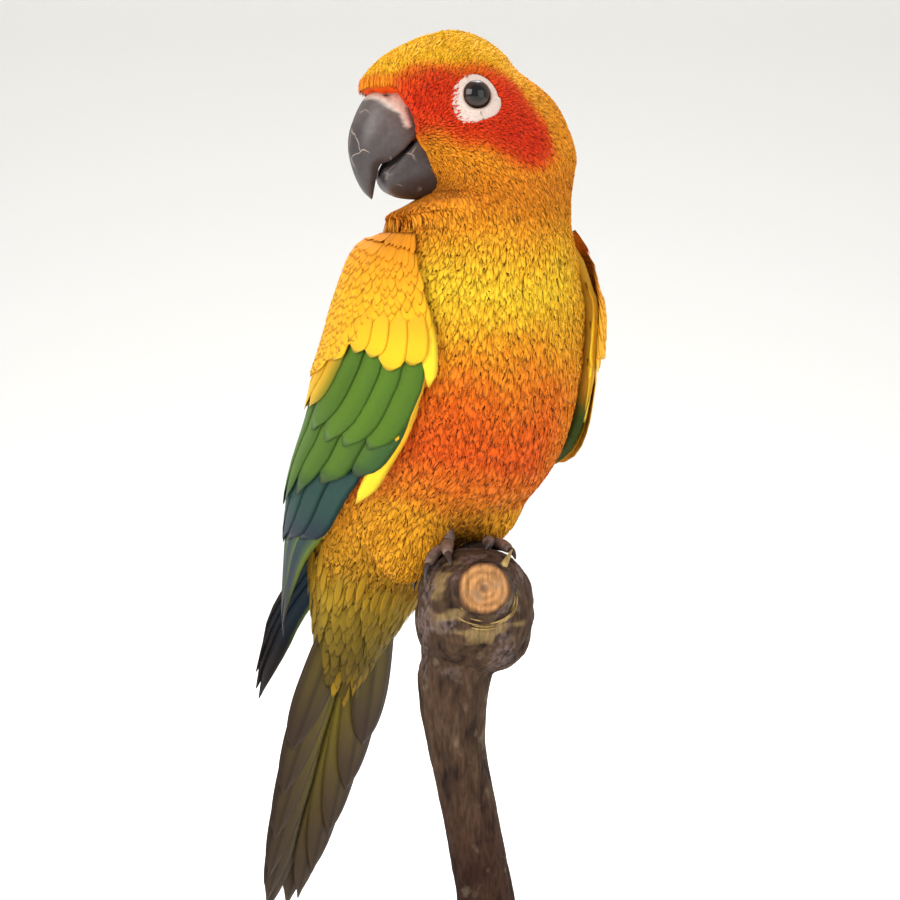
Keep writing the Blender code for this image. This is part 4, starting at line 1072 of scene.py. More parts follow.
def small_tier(side, q, top, low, half, rng):
    """The shoulder's small feathers, which lie on the wing's bulk there."""
    rows, columns = 6, 5
    u, v, face = lens_places(rows, columns)
    flat = outline(u, 0.6, 0.6, 0.35) * v
    across = q[:, None] + rng.normal(0, 0.006, (len(q), 1)) * u + half[:, None] * 1.25 * flat
    height = top[:, None] + (low - top)[:, None] * (u - 0.1 * v ** 2 * u ** 2)
    share = np.clip((WING_START[side] - height) / SHOULDER_RUN * SHOULDER_SLOPE[side], 0.02, 1)
    shell = COVERT_DEPTH[side] * np.sqrt(bow(np.clip(across, 0.0, 1.0)) * share)
    lift = WING_CLEAR + 0.2 + shell + (-0.5 + 0.9 * u) + 0.08 * (1 - v ** 2) + 0.06 * face
    tone = blend("#e99c2a", "#f0b82c", ramp(204, 186, low))
    tone = blend(tone, "#e58a26", 0.7 * ramp(0.7, 0.95, q) * ramp(180, 196, low))
    tone = tone * (1 + 0.04 * rng.normal(size=(len(q), 1)))
    # Each feather is painted darker towards its root, where the row above covers it: painted shade
    colour = pure(tone[:, None] * (0.93 + 0.08 * u)[:, None])
    vane = np.stack([(half * 60)[:, None] * flat, (top - low)[:, None] * u], axis=-1)
    return on_wing(side, height, across, lift), colour, vane, rows, columns, u, v


build_wing(1, "right")
build_wing(-1, "left")


# %% [markdown]
# ## The coat of head and body
# The head's feathers are tiny, and those of breast, back and belly grow to about 9 mm. Where a folded
# wing hides the body, none are made. The coat is split at the neck and then along its rows, so that each
# piece stays light. Thin loose barbs between the feathers soften it.

# %% Head coat
def head_size(s, spot):
    """Length and half width on the head: shortest round the bill and the eye."""
    near = np.minimum(np.linalg.norm(spot - BILL_ROOT, axis=-1) - 8.0, 2.0 + np.abs(bare_ring(spot)))
    grow = ramp(2.0, 22.0, near)
    return 2.2 + 2.4 * grow + 0.02 * s, 0.42 + 0.30 * grow


def head_spacing(s):
    """Distance between roots on the head in mm."""
    return np.interp(s, [0, 12, 40, 56], [0.78, 0.72, 0.78, 1.2])


rng = np.random.default_rng(SEED)
# Distances down the line where head and body coat part, where the breast ends and where wisps are split
COAT_PART = 50.0
BREAST_END = 96.0
WISP_PART = 60.0
roots = coat_roots(0.5, COAT_PART, head_spacing, rng)
roots = keep(roots, (bare_ring(roots[0]) > 0.1) & ~in_bill(roots[0]))
print("head feathers", len(roots[1]))
coats("head_coat", roots, head_size, 5, 3, "head_feathers", rng, stand=0.05, fray=0.2)


# %% Body coat
def body_size(s, spot):
    """Length and half width on the body: growing down the breast, narrow and long on thighs and vent."""
    length = np.interp(s, [50, 62, 80, 110, 150, 170], [4.6, 5.6, 7.5, 8.5, 8.0, 7.0])
    half = np.interp(s, [50, 62, 80, 110, 150, 170], [0.7, 0.95, 1.25, 1.4, 1.2, 1.1])
    thigh = ramp(4.0, 0.0, thighs(spot))
    return length * (1 - 0.25 * thigh), half * (1 - 0.35 * thigh)


def body_spacing(s):
    """Distance between roots on the body in mm."""
    return np.interp(s, [50, 62, 80, 110, 170], [1.15, 1.35, 1.55, 1.65, 1.45])


roots = coat_roots(COAT_PART + 0.6, SKIN_END - 1.0, body_spacing, rng)
roots = keep(roots, ~under_wing(roots[1], roots[2]))
print("body feathers", len(roots[1]))
halfway = roots[1] < BREAST_END
coats("breast_coat", keep(roots, halfway), body_size, 6, 4, "body_feathers", rng, stand=0.08, fray=0.2)
coats("belly_coat", keep(roots, ~halfway), body_size, 6, 4, "body_feathers", rng, stand=0.08, fray=0.2)


# %% Wisps
def wisp_size(s, spot):
    """Loose barbs: as long as the feathers there and about a fifth as wide."""
    length, half = body_size(s, spot)
    short, _ = head_size(s, spot)
    share = ramp(46, 56, s)
    return 0.9 * (short * (1 - share) + length * share), 0.10 + 0.12 * share


def wisp_spacing(s):
    """Distance between loose barbs in mm."""
    return np.interp(s, [0, 12, 40, 56, 110, 170], [0.85, 0.8, 0.85, 1.1, 1.3, 1.2])


roots = coat_roots(0.5, SKIN_END - 1.0, wisp_spacing, rng)
roots = keep(roots, (bare_ring(roots[0]) > -0.3) & ~in_bill(roots[0]) & ~under_wing(roots[1], roots[2]))
print("wisps", len(roots[1]))
for name, chosen in (("head_wisps", roots[1] < WISP_PART), ("body_wisps", roots[1] >= WISP_PART)):
    coats(name, keep(roots, chosen), wisp_size, 5, 3, "body_feathers", rng, stand=0.22, fray=0.1)

# %% [markdown]
# ## The tail
# Twelve long feathers, the middle pair longest, lie in a narrow fan with each pair under the last. Seen
# from below they are olive with dark outer edges. Rows of soft coverts hide their roots.

# %% Tail feathers
TAIL_ROOT_HEIGHT = 106.0
# Tail feathers from the middle pair outwards: height of the tip, its place to the side and half width
TAIL_PAIRS = ((14.5, 3.4, 6.8), (18.0, 5.4, 6.6), (26.0, 7.4, 6.5), (38.0, 9.2, 6.4), (52.0, 10.8, 6.4),
              (66.0, 12.0, 6.4))
TAIL_ROOT_SIDE = 0.42
TAIL_TOP = -2.5
TAIL_STEP = 0.55 + 0.32
MIDLINE = 0.35


def tail_fan():
    """All twelve feathers at once: plates across the line, each deeper than the one nearer the middle."""
    rows, columns = 22, 9
    u, v, face = lens_places(rows, columns, 0.85)
    pair = np.repeat(np.arange(len(TAIL_PAIRS)), 2)[:, None]
    side = np.tile([1.0, -1.0], len(TAIL_PAIRS))[:, None]
    tip, beside, half = np.array(TAIL_PAIRS)[pair[:, 0]].T[..., None]
    shape = outline(u, 0.5, 0.9, 0.14)
    root = distances(TAIL_ROOT_HEIGHT)
    s = root + (distances(tip) - root) * (u - 0.035 * v ** 2 * u ** 3)
    middle = beside * (TAIL_ROOT_SIDE + (1 - TAIL_ROOT_SIDE) * u ** 0.7)
    inner = middle - half * shape
    inner = np.where(pair > 0, np.maximum(inner, MIDLINE), inner)
    x = inner + (middle + half * shape - inner) * (v + 1) / 2
    depth = TAIL_TOP + TAIL_STEP * (pair - (side < 0) * (pair == 0))
    shaft = 0.3 * bell(v, 0, 0.09) * (1 - 0.6 * u)
    lift = depth + (0.25 * (1 - v ** 2) + shaft + 0.14 * face - 0.15)
    centre, _, front, right, _ = line_at(s)
    points = centre + (side * x)[..., None] * right + lift[..., None] * front
    colour = blend("#857628", "#4c3c2c", ramp(0.3, 0.95, u))
    colour = blend(colour, "#2c211e", 0.85 * ramp(0.35, 0.9, v))
    colour = blend(colour, "#43332a", 0.55 * ramp(3.4, 5.0, pair) * np.ones_like(u))
    colour = blend(colour, "#33271f", 0.6 * bell(v, 0, 0.1))
    count = len(pair)
    faces = repeated(lens_faces(rows, columns), count, len(u)).reshape(count, -1, 4)
    faces = np.where(side[..., None] > 0, faces[:, :, ::-1], faces)
    tile = np.stack([np.arange(count) % 4, np.arange(count) // 4], axis=-1)[:, None]
    bake = (tile + 0.05 + 0.9 * np.stack([(v + 1) / 2, u], axis=-1)) / 4
    maps = {"OFBake": bake, "Vane": np.stack([x - middle, s - s[:, :1]], axis=-1)}
    piece("tail_feathers", points, faces, flight_feather, "tail_feathers", colour, maps, ("tail",))


tail_fan()


# %% Coverts of the tail
def tail_coverts(rng):
    """Soft feathers in rows over the tail's root, longest below, on the line's own sections."""
    rows, columns = 9, 7
    u, v, face = lens_places(rows, columns)
    turn, tip, length, half = [], [], [], []
    for k, height in enumerate(np.linspace(110.0, 80.0, 17)):
        count = int(np.interp(k, [0, 16], [34, 8]))
        below = (np.arange(count) + 0.5 * (k % 2)) / count * 360.0
        turn.append(below + rng.normal(0, 3, count))
        tip.append(height + 5.0 * (1 - np.cos(np.radians(below))) / 2 + rng.normal(0, 1.0, count))
        length.append(rng.uniform(9.0, 13.0, count))
        half.append(np.full(count, 1.15 + 0.03 * k))
    turn, tip, length, half = (np.concatenate(x)[:, None] for x in (turn, tip, length, half))
    s = distances(tip + length - length * (u - 0.1 * v ** 2 * u ** 2))
    angle = np.radians(turn)
    across = half * (outline(u, 0.66, 0.5, 0.3) * v)
    angle = angle + across / (skin_radius(s, angle) + 1.5)
    lift = (-0.8 + 1.5 * u - 0.15 * v ** 2 + 0.08 * face) + rng.uniform(0, 0.4, (len(tip), 1))
    tone = stops(tip[:, 0] - 2.0, BREAST)
    share = 0.5 * ramp(92, 80, tip[:, 0]) * (rng.random(len(tip)) > 0.4)
    tone = blend(tone, "#c9a32c", share) * (1 + 0.06 * rng.normal(size=(len(tip), 1)))
    patch = np.stack([turn / 360.0 % 1.0, np.full(turn.shape, 0.9)], axis=-1)
    maps = {"OFBake": patch + PATCH * np.stack([v / 2, u - 0.5], axis=-1),
            "Vane": np.stack([across, length * u], axis=-1)}
    # Each covert is painted darker towards its root, where the one above overlaps it: painted shade
    piece("tail_coverts", place(s, angle, skin_radius(s, angle) + lift),
          repeated(lens_faces(rows, columns), len(tip), len(u)), contour_feather, "body_feathers",
          pure(tone)[:, None] * (0.9 + 0.12 * u)[:, None], maps)


tail_coverts(rng)

# %% [markdown]
# ## The bill
# Horn grows in layers and wears into flat flakes with pale edges. Each half is a curve along its ridge
# and one along its cutting edge, with a rounded ridge and flat sides between, as in the solids but finer.
# The bare cere with its nostril is part of the upper half, where forehead feathers meet it.

# %% Bare skin
def bare_material(name, colour, grain):
    """Bare wrinkled skin: pale, with fine creases."""
    finish, add, give = new_material(name, colour, 0.6)
    fine = add("TexNoise", Vector=add("TexCoord"), Scale=grain, Detail=4.0)
    give(Base_Color=toned(add, add("MapRange", fine, 0.3, 0.7, 0.86, 1.1)),
         Normal=add("Bump", Height=fine, Strength=0.6, Distance=0.0002))
    return finish


# %% Both halves of the bill
UPPER_OUTER = ((20.5, 9.5), (26.3, 6.2), (30.0, -0.8), (30.8, -7.1), (29.4, -13.4), (27.2, -18.1),
               (24.7, -20.6))
UPPER_INNER = ((9.5, -1.5), (13.5, -3.4), (17.8, -8.0), (21.2, -10.8), (23.4, -11.8), (24.0, -15.0),
               (24.4, -19.8))
UPPER_HALF = (7.4, 7.9, 7.5, 6.4, 4.8, 2.8, 0.5)
LOWER_OUTER = ((6.5, -19.3), (12.5, -20.2), (18.0, -19.8), (21.4, -18.0), (22.9, -14.9))
LOWER_INNER = ((7.5, -3.2), (12.4, -4.4), (16.0, -7.9), (19.6, -11.5), (22.2, -12.7))
LOWER_HALF = (6.4, 6.6, 6.3, 5.4, 3.8)


def bill_half(outer, inner, half, rows=64, across=20):
    """Rings from cutting edge over the ridge and back, as head places ahead, to the side and up."""
    t = np.linspace(0, 1, rows)
    knots = np.linspace(0, 1, len(half))
    rim = hermite(knots, outer, t)
    edge = hermite(knots, inner, t)
    wide = hermite(knots, half, t)
    share = np.linspace(0, 1, across)
    bulge = np.sqrt(np.clip(1 - (1 - np.minimum(share / 0.62, 1.0)) ** 2, 0, 1)) * (1 - 0.22 * share ** 3)
    line = rim[:, None] * (1 - share)[None, :, None] + edge[:, None] * share[None, :, None]
    left = np.stack([line[..., 0], bulge[None, :] * wide[:, None], line[..., 1]], axis=-1)
    right = left[:, :0:-1] * (1, -1, 1)
    return np.concatenate([left, right], axis=1)


def to_polyline(ahead, up, line):
    """Distance in the head's side view from points to a line of joined segments."""
    best = np.full(ahead.shape, 1e3)
    for (a0, u0), (a1, u1) in zip(line[:-1], line[1:]):
        span = np.array([a1 - a0, u1 - u0])
        t = np.clip(((ahead - a0) * span[0] + (up - u0) * span[1]) / (span @ span), 0, 1)
        best = np.minimum(best, np.hypot(ahead - a0 - t * span[0], up - u0 - t * span[1]))
    return best


CERE_LINE = ((27.0, 8.2), (23.5, 7.6), (20.0, 4.4))
CERE_EDGE = ((20.0, 4.4), (17.2, -1.4))
NOSTRIL = (22.3, 6.3)


def horn_material():
    """Worn horn: grey-brown keratin, darker in its growth layers, with pale cracked edges of old flakes."""
    finish, add, give = new_material("worn bill horn", roughness=0.42)
    where = add("TexCoord")
    warp = add("TexNoise", Vector=where, Scale=260.0, Detail=2.0, output="Color")
    bent = add("VectorMath", warp, (0.004, 0.004, 0.004), where, choice="MULTIPLY_ADD")
    flakes = add("TexVoronoi", Vector=bent, Scale=95.0, choice="DISTANCE_TO_EDGE", output="Distance")
    crack = add("MapRange", flakes, 0.0, 0.022, 0.75, 0.0)
    only = add("MapRange", add("TexNoise", Vector=where, Scale=150.0, Detail=0.0), 0.56, 0.66)
    share = add("Math", crack, only, choice="MULTIPLY")
    fine = add("TexNoise", Vector=where, Scale=700.0, Detail=4.0)
    base = toned(add, add("MapRange", fine, 0.3, 0.7, 0.82, 1.16))
    height = add("Math", fine, share, choice="ADD")
    give(Base_Color=mix(add, share, base, "#b7a596"),
         Normal=add("Bump", Height=height, Strength=0.5, Distance=0.0001))
    return finish


horn = horn_material()


def build_bill(name, node, outer, inner, half):
    """One half of the bill with its tones, cere and nostril."""
    rings = bill_half(outer, inner, half)
    ahead, left, up = np.moveaxis(rings, -1, 0)
    upper = node == "bill_upper"
    cere = ramp(3.3, 2.3, to_polyline(ahead, up, CERE_LINE))
    cere = np.clip(cere + ramp(1.3, 0.6, to_polyline(ahead, up, CERE_EDGE)), 0, 1) * upper
    hole = np.exp(-((ahead - NOSTRIL[0]) ** 2 + (up - NOSTRIL[1]) ** 2) / 0.55) * upper
    spots = head_point(ahead, left + np.sign(left) * (0.35 * cere - 1.1 * hole) * (np.abs(left) > 1.0), up)
    points, faces = closed_tube(spots)
    tone = blend("#5d524f", "#383233", ramp(2.0, -12.0, up) * 0.85)
    tone = blend(tone, "#3c3637", 0.7 * ramp(26.0, 31.0, ahead) * ramp(4.0, -4.0, up))
    tone = tone * (0.95 + 0.1 * noise(spots, 3.0, 8))[..., None]
    tone = blend(tone, "#cdbcae", cere)
    # The nostril's shallow pit is painted near black: painted shade in the hole
    tone = blend(tone, "#1d1512", np.clip(1.3 * hole, 0, 1))
    tone = np.concatenate([tone.reshape(-1, 3), [tone[0].mean(0), tone[-1].mean(0)]])
    piece(name, points, faces, horn, "bill_horn", tone, None, (node,))


build_bill("bill_top", "bill_upper", UPPER_OUTER, UPPER_INNER, UPPER_HALF)
build_bill("bill_bottom", "bill_lower", LOWER_OUTER, LOWER_INNER, LOWER_HALF)


def build_tongue():
    """The thick dark tongue, an ellipsoid that fills the opening between the two halves."""
    polar = np.linspace(0.08, np.pi - 0.08, 22)[:, None]
    turn = circle(28)
    across = 3.4 * np.sin(polar) * np.cos(turn)
    upright = 2.7 * np.sin(polar) * np.sin(turn)
    along = 6.8 * np.cos(polar)
    spots = head_point(17.6 + 0.72 * along - 0.68 * upright, across, -10.4 - 0.68 * along - 0.72 * upright)
    dark = bare_material("dark tongue", "#1b1210", 900.0)
    piece("tongue", *closed_tube(spots), dark, "bill_horn", linear("#1b1210"))


build_tongue()

# %% [markdown]
# ## The eyes
# A parrot's eye is dark brown with a black pupil behind a wet cornea. A ring of bare, pale, finely
# wrinkled skin lies round it, and rolls into the lids at its inner edge. The feathers stop at its outer
# edge in a drop shape.

# %% Eyeballs
EYE_RADIUS = 4.6
EYE_SIDE = 16.5
LID_RADIUS = 3.62
RING_SIDE = 19.5


def eye_material():
    """Wet cornea over a dark iris: a glossy coat and an almost black brown."""
    finish, add, give = new_material("wet eye", roughness=0.08)
    give(Base_Color=add("Attribute", choice="Tone"), Specular_IOR_Level=0.35, Coat_Weight=0.15,
         Coat_Roughness=0.02)
    return finish


def eyeball(word, side, finish):
    """A sphere with its pole at the pupil, so that pupil and iris are rings of it."""
    out = unit(side * LEFT + 0.06 * UP + 0.12 * AHEAD)
    first = unit(np.cross(out, UP))
    polar = np.linspace(0.03, np.pi - 0.03, 40)[:, None]
    turn = circle(48)
    around = np.cos(turn)[:, None] * first + np.sin(turn)[:, None] * np.cross(out, first)
    centre = head_point(EYE_AHEAD, side * EYE_SIDE, EYE_UP)
    rings = centre + EYE_RADIUS * (np.sin(polar)[..., None] * around + np.cos(polar)[..., None] * out)
    points, faces = closed_tube(rings, centre + EYE_RADIUS * out, centre - EYE_RADIUS * out)
    off = np.degrees(polar)
    streak = 0.12 * np.sin(23 * turn + 2 * np.sin(3 * turn))
    tone = blend("#0a0706", "#2e1c13", ramp(27, 31, off))
    tone = tone * (1 + streak * ramp(30, 40, off))[..., None]
    tone = blend(tone, "#120c0a", ramp(46, 52, off))
    tone = np.concatenate([tone.reshape(-1, 3), [linear("#0a0706"), linear("#120c0a")]])
    piece(f"eyeball_{word}", points, faces, finish, "eye", tone, None, (f"eye_{word}",))


wet_eye = eye_material()
for word, side in (("left", 1), ("right", -1)):
    eyeball(word, side, wet_eye)


# %% Bare skin round the eyes
bare_skin = bare_material("bare eye skin", "#d3c1b6", 1500.0)


def wrap_faces(rows, columns):
    """Quads of a grid closed on itself both ways, as a ring is."""
    i = np.arange(rows)[:, None]
    j = np.arange(columns)[None, :]
    a = i * columns + j
    b = i * columns + (j + 1) % columns
    c = (i + 1) % rows * columns + (j + 1) % columns
    d = (i + 1) % rows * columns + j
    return np.stack([a, b, c, d], axis=-1).reshape(-1, 4)


def eye_ring(word, side):
    """A ring whose upper face rolls over the lid's edge and runs out under the feathers."""
    around = 96
    t = np.array([0.0, 0.03, 0.08, 0.14, 0.22, 0.32, 0.44, 0.57, 0.7, 0.83, 0.93, 1.0, 0.8, 0.45, 0.12])
    lift = np.array([-0.35, 0.0, 0.32, 0.42, 0.24, 0.06, 0.05, 0.0, 0.0, -0.1, -0.3, -0.6, -1.3, -1.5, -1.4])
    bearing = np.linspace(-np.pi, np.pi, around, endpoint=False)
    far = head_point(EYE_AHEAD + 4 * np.cos(bearing), side * 19.0, EYE_UP + 4 * np.sin(bearing))
    reach = 4.0 - bare_ring(far) + 0.9
    radius = LID_RADIUS + (reach - LID_RADIUS)[:, None] * t
    points = head_point(EYE_AHEAD + radius * np.cos(bearing)[:, None], side * RING_SIDE,
                        EYE_UP + radius * np.sin(bearing)[:, None])
    crease = 0.07 * np.sin(26 * t + 3 * noise(points, 2.5, 9)) * ramp(0.15, 0.3, t)
    points = onto_body(points, lift + crease * (lift > -0.9), 3)
    tone = blend("#cdb9ae", "#97806f", ramp(0.2, 0.02, t) * np.ones((around, 1)))
    tone = blend(tone, "#cdbbb0", 0.6 * np.clip(noise(points, 1.5, 10), 0, 1))
    faces = outward(points.reshape(-1, 3), wrap_faces(around, len(t)))
    piece(f"eye_ring_{word}", points, faces, bare_skin, "head_feathers", tone)


for word, side in (("left", 1), ("right", -1)):
    eye_ring(word, side)

# %% [markdown]
# ## The perch
# A short length of branch with a knob, where side branches were cut off. Its solid form is a rounded
# block, a bent stem and a stub. Here the three are merged by a voxel remesh into one fine skin. The skin
# is then worked like bark: long furrows on the stem, rings on the cut face, flakes round it.

# %% Perch tables
KNOB_CENTRE = (6.6, 6.0, 107.0)
KNOB_HALF = (15.6, 21.0, 16.8)
KNOB_POWER = 2.4
STEM = (
    (10.6, 2.0, 24.0, 7.9),
    (8.6, 2.0, 36.0, 7.7),
    (5.0, 2.0, 55.0, 7.4),
    (1.2, 2.5, 76.0, 8.2),
    (1.0, 3.0, 88.0, 9.8),
    (4.0, 4.5, 100.0, 11.0),
)
CUT_FACE = (8.7, -20.5, 114.5)
CUT_RADIUS = 6.9
# Voxel of the remesh, in metres
VOXEL = 0.00055


# %% One skin for the perch
def knob_level(points):
    """Below 1 inside the knob, 1 on its surface: a rounded block with a power between sphere and box."""
    local = np.abs((points - np.array(KNOB_CENTRE)) / KNOB_HALF)
    return (local ** KNOB_POWER).sum(-1) ** (1 / KNOB_POWER)


def merged_perch():
    """Knob, stem and stub as closed tubes, merged by a voxel remesh, as arrays of points and quads."""
    turn = circle(64)
    ring = np.stack([np.cos(turn), np.sin(turn), np.zeros(64)], axis=-1)
    polar = np.linspace(0.06, np.pi - 0.06, 40)[:, None, None]
    way = np.sin(polar) * ring + np.cos(polar) * UP
    reach = (np.abs(way) ** KNOB_POWER).sum(-1, keepdims=True) ** (1 / KNOB_POWER)
    knob = np.array(KNOB_CENTRE) + way * KNOB_HALF / reach
    stem = np.array(STEM)
    rows = hermite(stem[:, 2], stem, np.linspace(stem[0, 2], stem[-1, 2], 40))
    stem_rings = rows[:, None, :3] + rows[:, None, 3:] * ring
    depth = np.array([CUT_FACE[1], CUT_FACE[1] + 0.6, CUT_FACE[1] + 3, CUT_FACE[1] + 8, -5.0])
    radius = CUT_RADIUS + np.array([-0.5, 0.0, 0.4, 1.6, 1.8])
    middle = np.stack([np.full(5, CUT_FACE[0]), depth, CUT_FACE[2] - 0.12 * (depth - CUT_FACE[1])], axis=-1)
    stub = middle[:, None] + radius[:, None, None] * ring[:, [0, 2, 1]]
    points, faces = joined((knob, stem_rings, stub))
    mesh = bpy.data.meshes.new("perch draft")
    mesh.from_pydata((points * MM).tolist(), [], faces.tolist())
    draft = bpy.data.objects.new("perch draft", mesh)
    bpy.context.scene.collection.objects.link(draft)
    step = draft.modifiers.new("merge", "REMESH")
    step.mode = "VOXEL"
    step.voxel_size = VOXEL
    bpy.context.view_layer.update()
    result = bpy.data.meshes.new_from_object(draft.evaluated_get(bpy.context.evaluated_depsgraph_get()))
    bpy.data.objects.remove(draft, do_unlink=True)
    read = {"co": np.empty(len(result.vertices) * 3, np.float32)}
    read["normal"] = read["co"].copy()
    for key, values in read.items():
        result.vertices.foreach_get(key, values)
    corners = np.empty(len(result.loops), np.int32)
    result.loops.foreach_get("vertex_index", corners)
    corners = corners.reshape(len(result.polygons), -1)
    bpy.data.meshes.remove(result)
    return read["co"].reshape(-1, 3) / MM, read["normal"].reshape(-1, 3), corners


def bark_material():
    """Dry bark and bare wood: matt, with the tone attribute shaded by fine fibres along the stem."""
    finish, add, give = new_material("dry bark", roughness=0.88)
    where = add("TexCoord")
    stretch = add("Mapping", Vector=where, Scale=(1.0, 1.0, 0.3))
    fibre = add("TexNoise", Vector=stretch, Scale=1100.0, Detail=6.0)
    pale = add("MapRange", add("TexNoise", Vector=where, Scale=170.0, Detail=3.0), 0.6, 0.7, 0.0, 0.35)
    shaded = toned(add, add("MapRange", fibre, 0.3, 0.7, 0.6, 1.35))
    give(Base_Color=mix(add, pale, shaded, "#8a7a66"),
         Normal=add("Bump", Height=fibre, Strength=0.9, Distance=0.0004), Specular_IOR_Level=0.2)
    return finish


dry_bark = bark_material()


def build_perch():
    """The merged skin, furrowed along the stem and the knob, with rings and a bark rim on the cut face."""
    p, n, faces = merged_perch()
    long_way = p * (1.0, 1.0, 0.28)
    furrow = noise(long_way, 1.9, 21) * 0.45 + noise(long_way, 0.8, 22) * 0.25 + noise(p, 5.0, 23) * 0.3
    face_out = p - np.array(CUT_FACE)
    ring = np.hypot(face_out[:, 0], face_out[:, 2])
    on_cut = ramp(0.9, 0.3, face_out[:, 1]) * ramp(CUT_RADIUS + 0.4, CUT_RADIUS - 0.6, ring)
    lump = ramp(0.75, 1.0, knob_level(p)) * ramp(88, 96, p[:, 2])
    depth = np.where(furrow > 0, 0.3, 0.75) * furrow * (1 - on_cut)
    depth = depth + lump * (1 - on_cut) * np.minimum(0.9 * noise(p, 4.2, 26), 0.45)
    crust = ramp(0.05, 0.5, noise(p, 7.0, 27)) * lump * (1 - on_cut)
    depth = depth + 0.35 * crust * noise(p, 0.7, 28)
    depth = depth + on_cut * 0.1 * np.sin(ring * 4.2 + noise(p, 2.0, 24))
    top = ramp(0.93, 0.99, knob_level(p)) * ramp(116, 122, p[:, 2]) * (ring > CUT_RADIUS)
    depth = np.minimum(depth, np.where(top > 0.5, 0.05, 1.0))
    spots = p + n * depth[:, None]
    # Lighter on the raised ridges and darker in the furrows, partly the bark's own tone and partly painted
    # shade; the deepest furrows are painted near black, which is painted shade
    tone = blend("#33231a", "#5d4634", np.clip(0.5 + 0.8 * furrow, 0, 1))
    tone = blend(tone, "#170e0a", 0.7 * ramp(-0.1, -0.5, furrow))
    tone = blend(tone, "#7d6a66", 0.75 * crust * np.clip(0.5 + noise(p, 0.8, 29), 0, 1))
    tone = blend(tone, "#3c2219", 0.6 * ramp(70, 40, p[:, 2]))
    grain = 0.5 + 0.5 * np.sin(ring * 3.1 + 2.2 * noise(p, 2.6, 24))
    wood = blend("#b98552", "#7a5230", np.clip(grain, 0, 1) * 0.6)
    wood = blend(wood, "#6e4a30", ramp(1.6, 0.3, ring) + ramp(5.6, 6.4, ring))
    tone = blend(tone, wood, on_cut)
    shaved = ramp(0.0, 0.4, noise(p * (1, 1, 2.2), 4.0, 25)) * ramp(7.0, 9.0, ring)
    shaved = shaved * ramp(17.0, 13.0, ring) * ramp(-4.0, -9.0, p[:, 1])
    tone = blend(tone, "#a98d5c", 0.55 * shaved) * (0.85 + 0.15 * on_cut)[:, None]
    piece("perch_bark", spots, outward(spots, faces), dry_bark, "bark", tone, None, ("perch",))


build_perch()


# %% [markdown]
# ## The feet
# Two toes point forwards and two back, as on every parrot, and wrap round the knob. A toe is a tube along
# the knob's surface with a ring of scutes every millimetre. Claws stay separate pieces of dark horn.

# %% Feet
FOOT_PLACE = {"right": (-0.4, 4.5), "left": (10.4, 17.0)}
ANKLE_RISE = 8.5
TARSUS_RADIUS = 2.3
TOES = {"right": ((78.0, 9.5), (40.0, 9.0), (205.0, 12.0), (140.0, 10.0)),
        "left": ((40.0, 11.5), (8.0, 11.0), (205.0, 10.5), (158.0, 10.0))}
TOE_RADIUS = (2.0, 1.75, 1.6, 1.55, 1.35, 1.2)
CLAW_LENGTH = 5.2
CLAW_BEND = 0.55
CLAW_RADIUS = (1.05, 0.85, 0.55, 0.2)


def knob_normal(p):
    """Direction straight out of the knob at points."""
    return unit(np.stack([knob_level(p + 0.05 * e) - knob_level(p - 0.05 * e) for e in np.eye(3)], axis=-1))


def onto_knob(p, lift):
    """A point moved along the knob's normal until it lies at a lift above the surface."""
    p = np.array(p, float)
    for _ in range(12):
        n = knob_normal(p)
        rate = (knob_level(p + 0.05 * n) - knob_level(p - 0.05 * n)) / 0.1
        p = p + n * (1 - knob_level(p)) / rate
    return p + lift * knob_normal(p)


def toe_walk(start, bearing, distances_gone, lifts):
    """Points along the knob from a start, heading by a bearing from the bird's front."""
    heading = azimuth(BODY_YAW - bearing)
    p = onto_knob(start, 0.0)
    found = [p + lifts[0] * knob_normal(p)]
    for gone, to, lift in zip(distances_gone[:-1], distances_gone[1:], lifts[1:]):
        n = knob_normal(p)
        heading = unit(heading - (heading @ n) * n)
        p = onto_knob(p + (to - gone) * heading, 0.0)
        found.append(p + lift * knob_normal(p))
    return np.array(found)


def tube(path, radius, rows, sides, ridge=0.0, every=1.0):
    """A closed tube round a smooth path, with ridges of scutes, as rings of points."""
    path = np.asarray(path, float)
    knots = np.concatenate([[0], np.cumsum(np.linalg.norm(np.diff(path, axis=0), axis=1))])
    at = np.linspace(0, knots[-1], rows)
    line = hermite(knots, path, at)
    size = np.interp(at, knots, radius)
    ahead = unit(np.gradient(line, axis=0))
    side = unit(np.cross(ahead, unit(np.cross(ahead, np.array([0.31, 0.22, 0.92])))))
    other = np.cross(ahead, side)
    turn = circle(sides)
    size = size * np.sqrt(np.clip(1 - ((at / knots[-1] - 0.5) * 2) ** 12, 0.05, 1))
    scale = size[:, None] * (1 + ridge * np.abs(np.sin(np.pi * at / every))[:, None] * np.ones(sides))
    round_it = np.cos(turn)[:, None] * side[:, None] + np.sin(turn)[:, None] * other[:, None]
    return line[:, None] + scale[..., None] * round_it


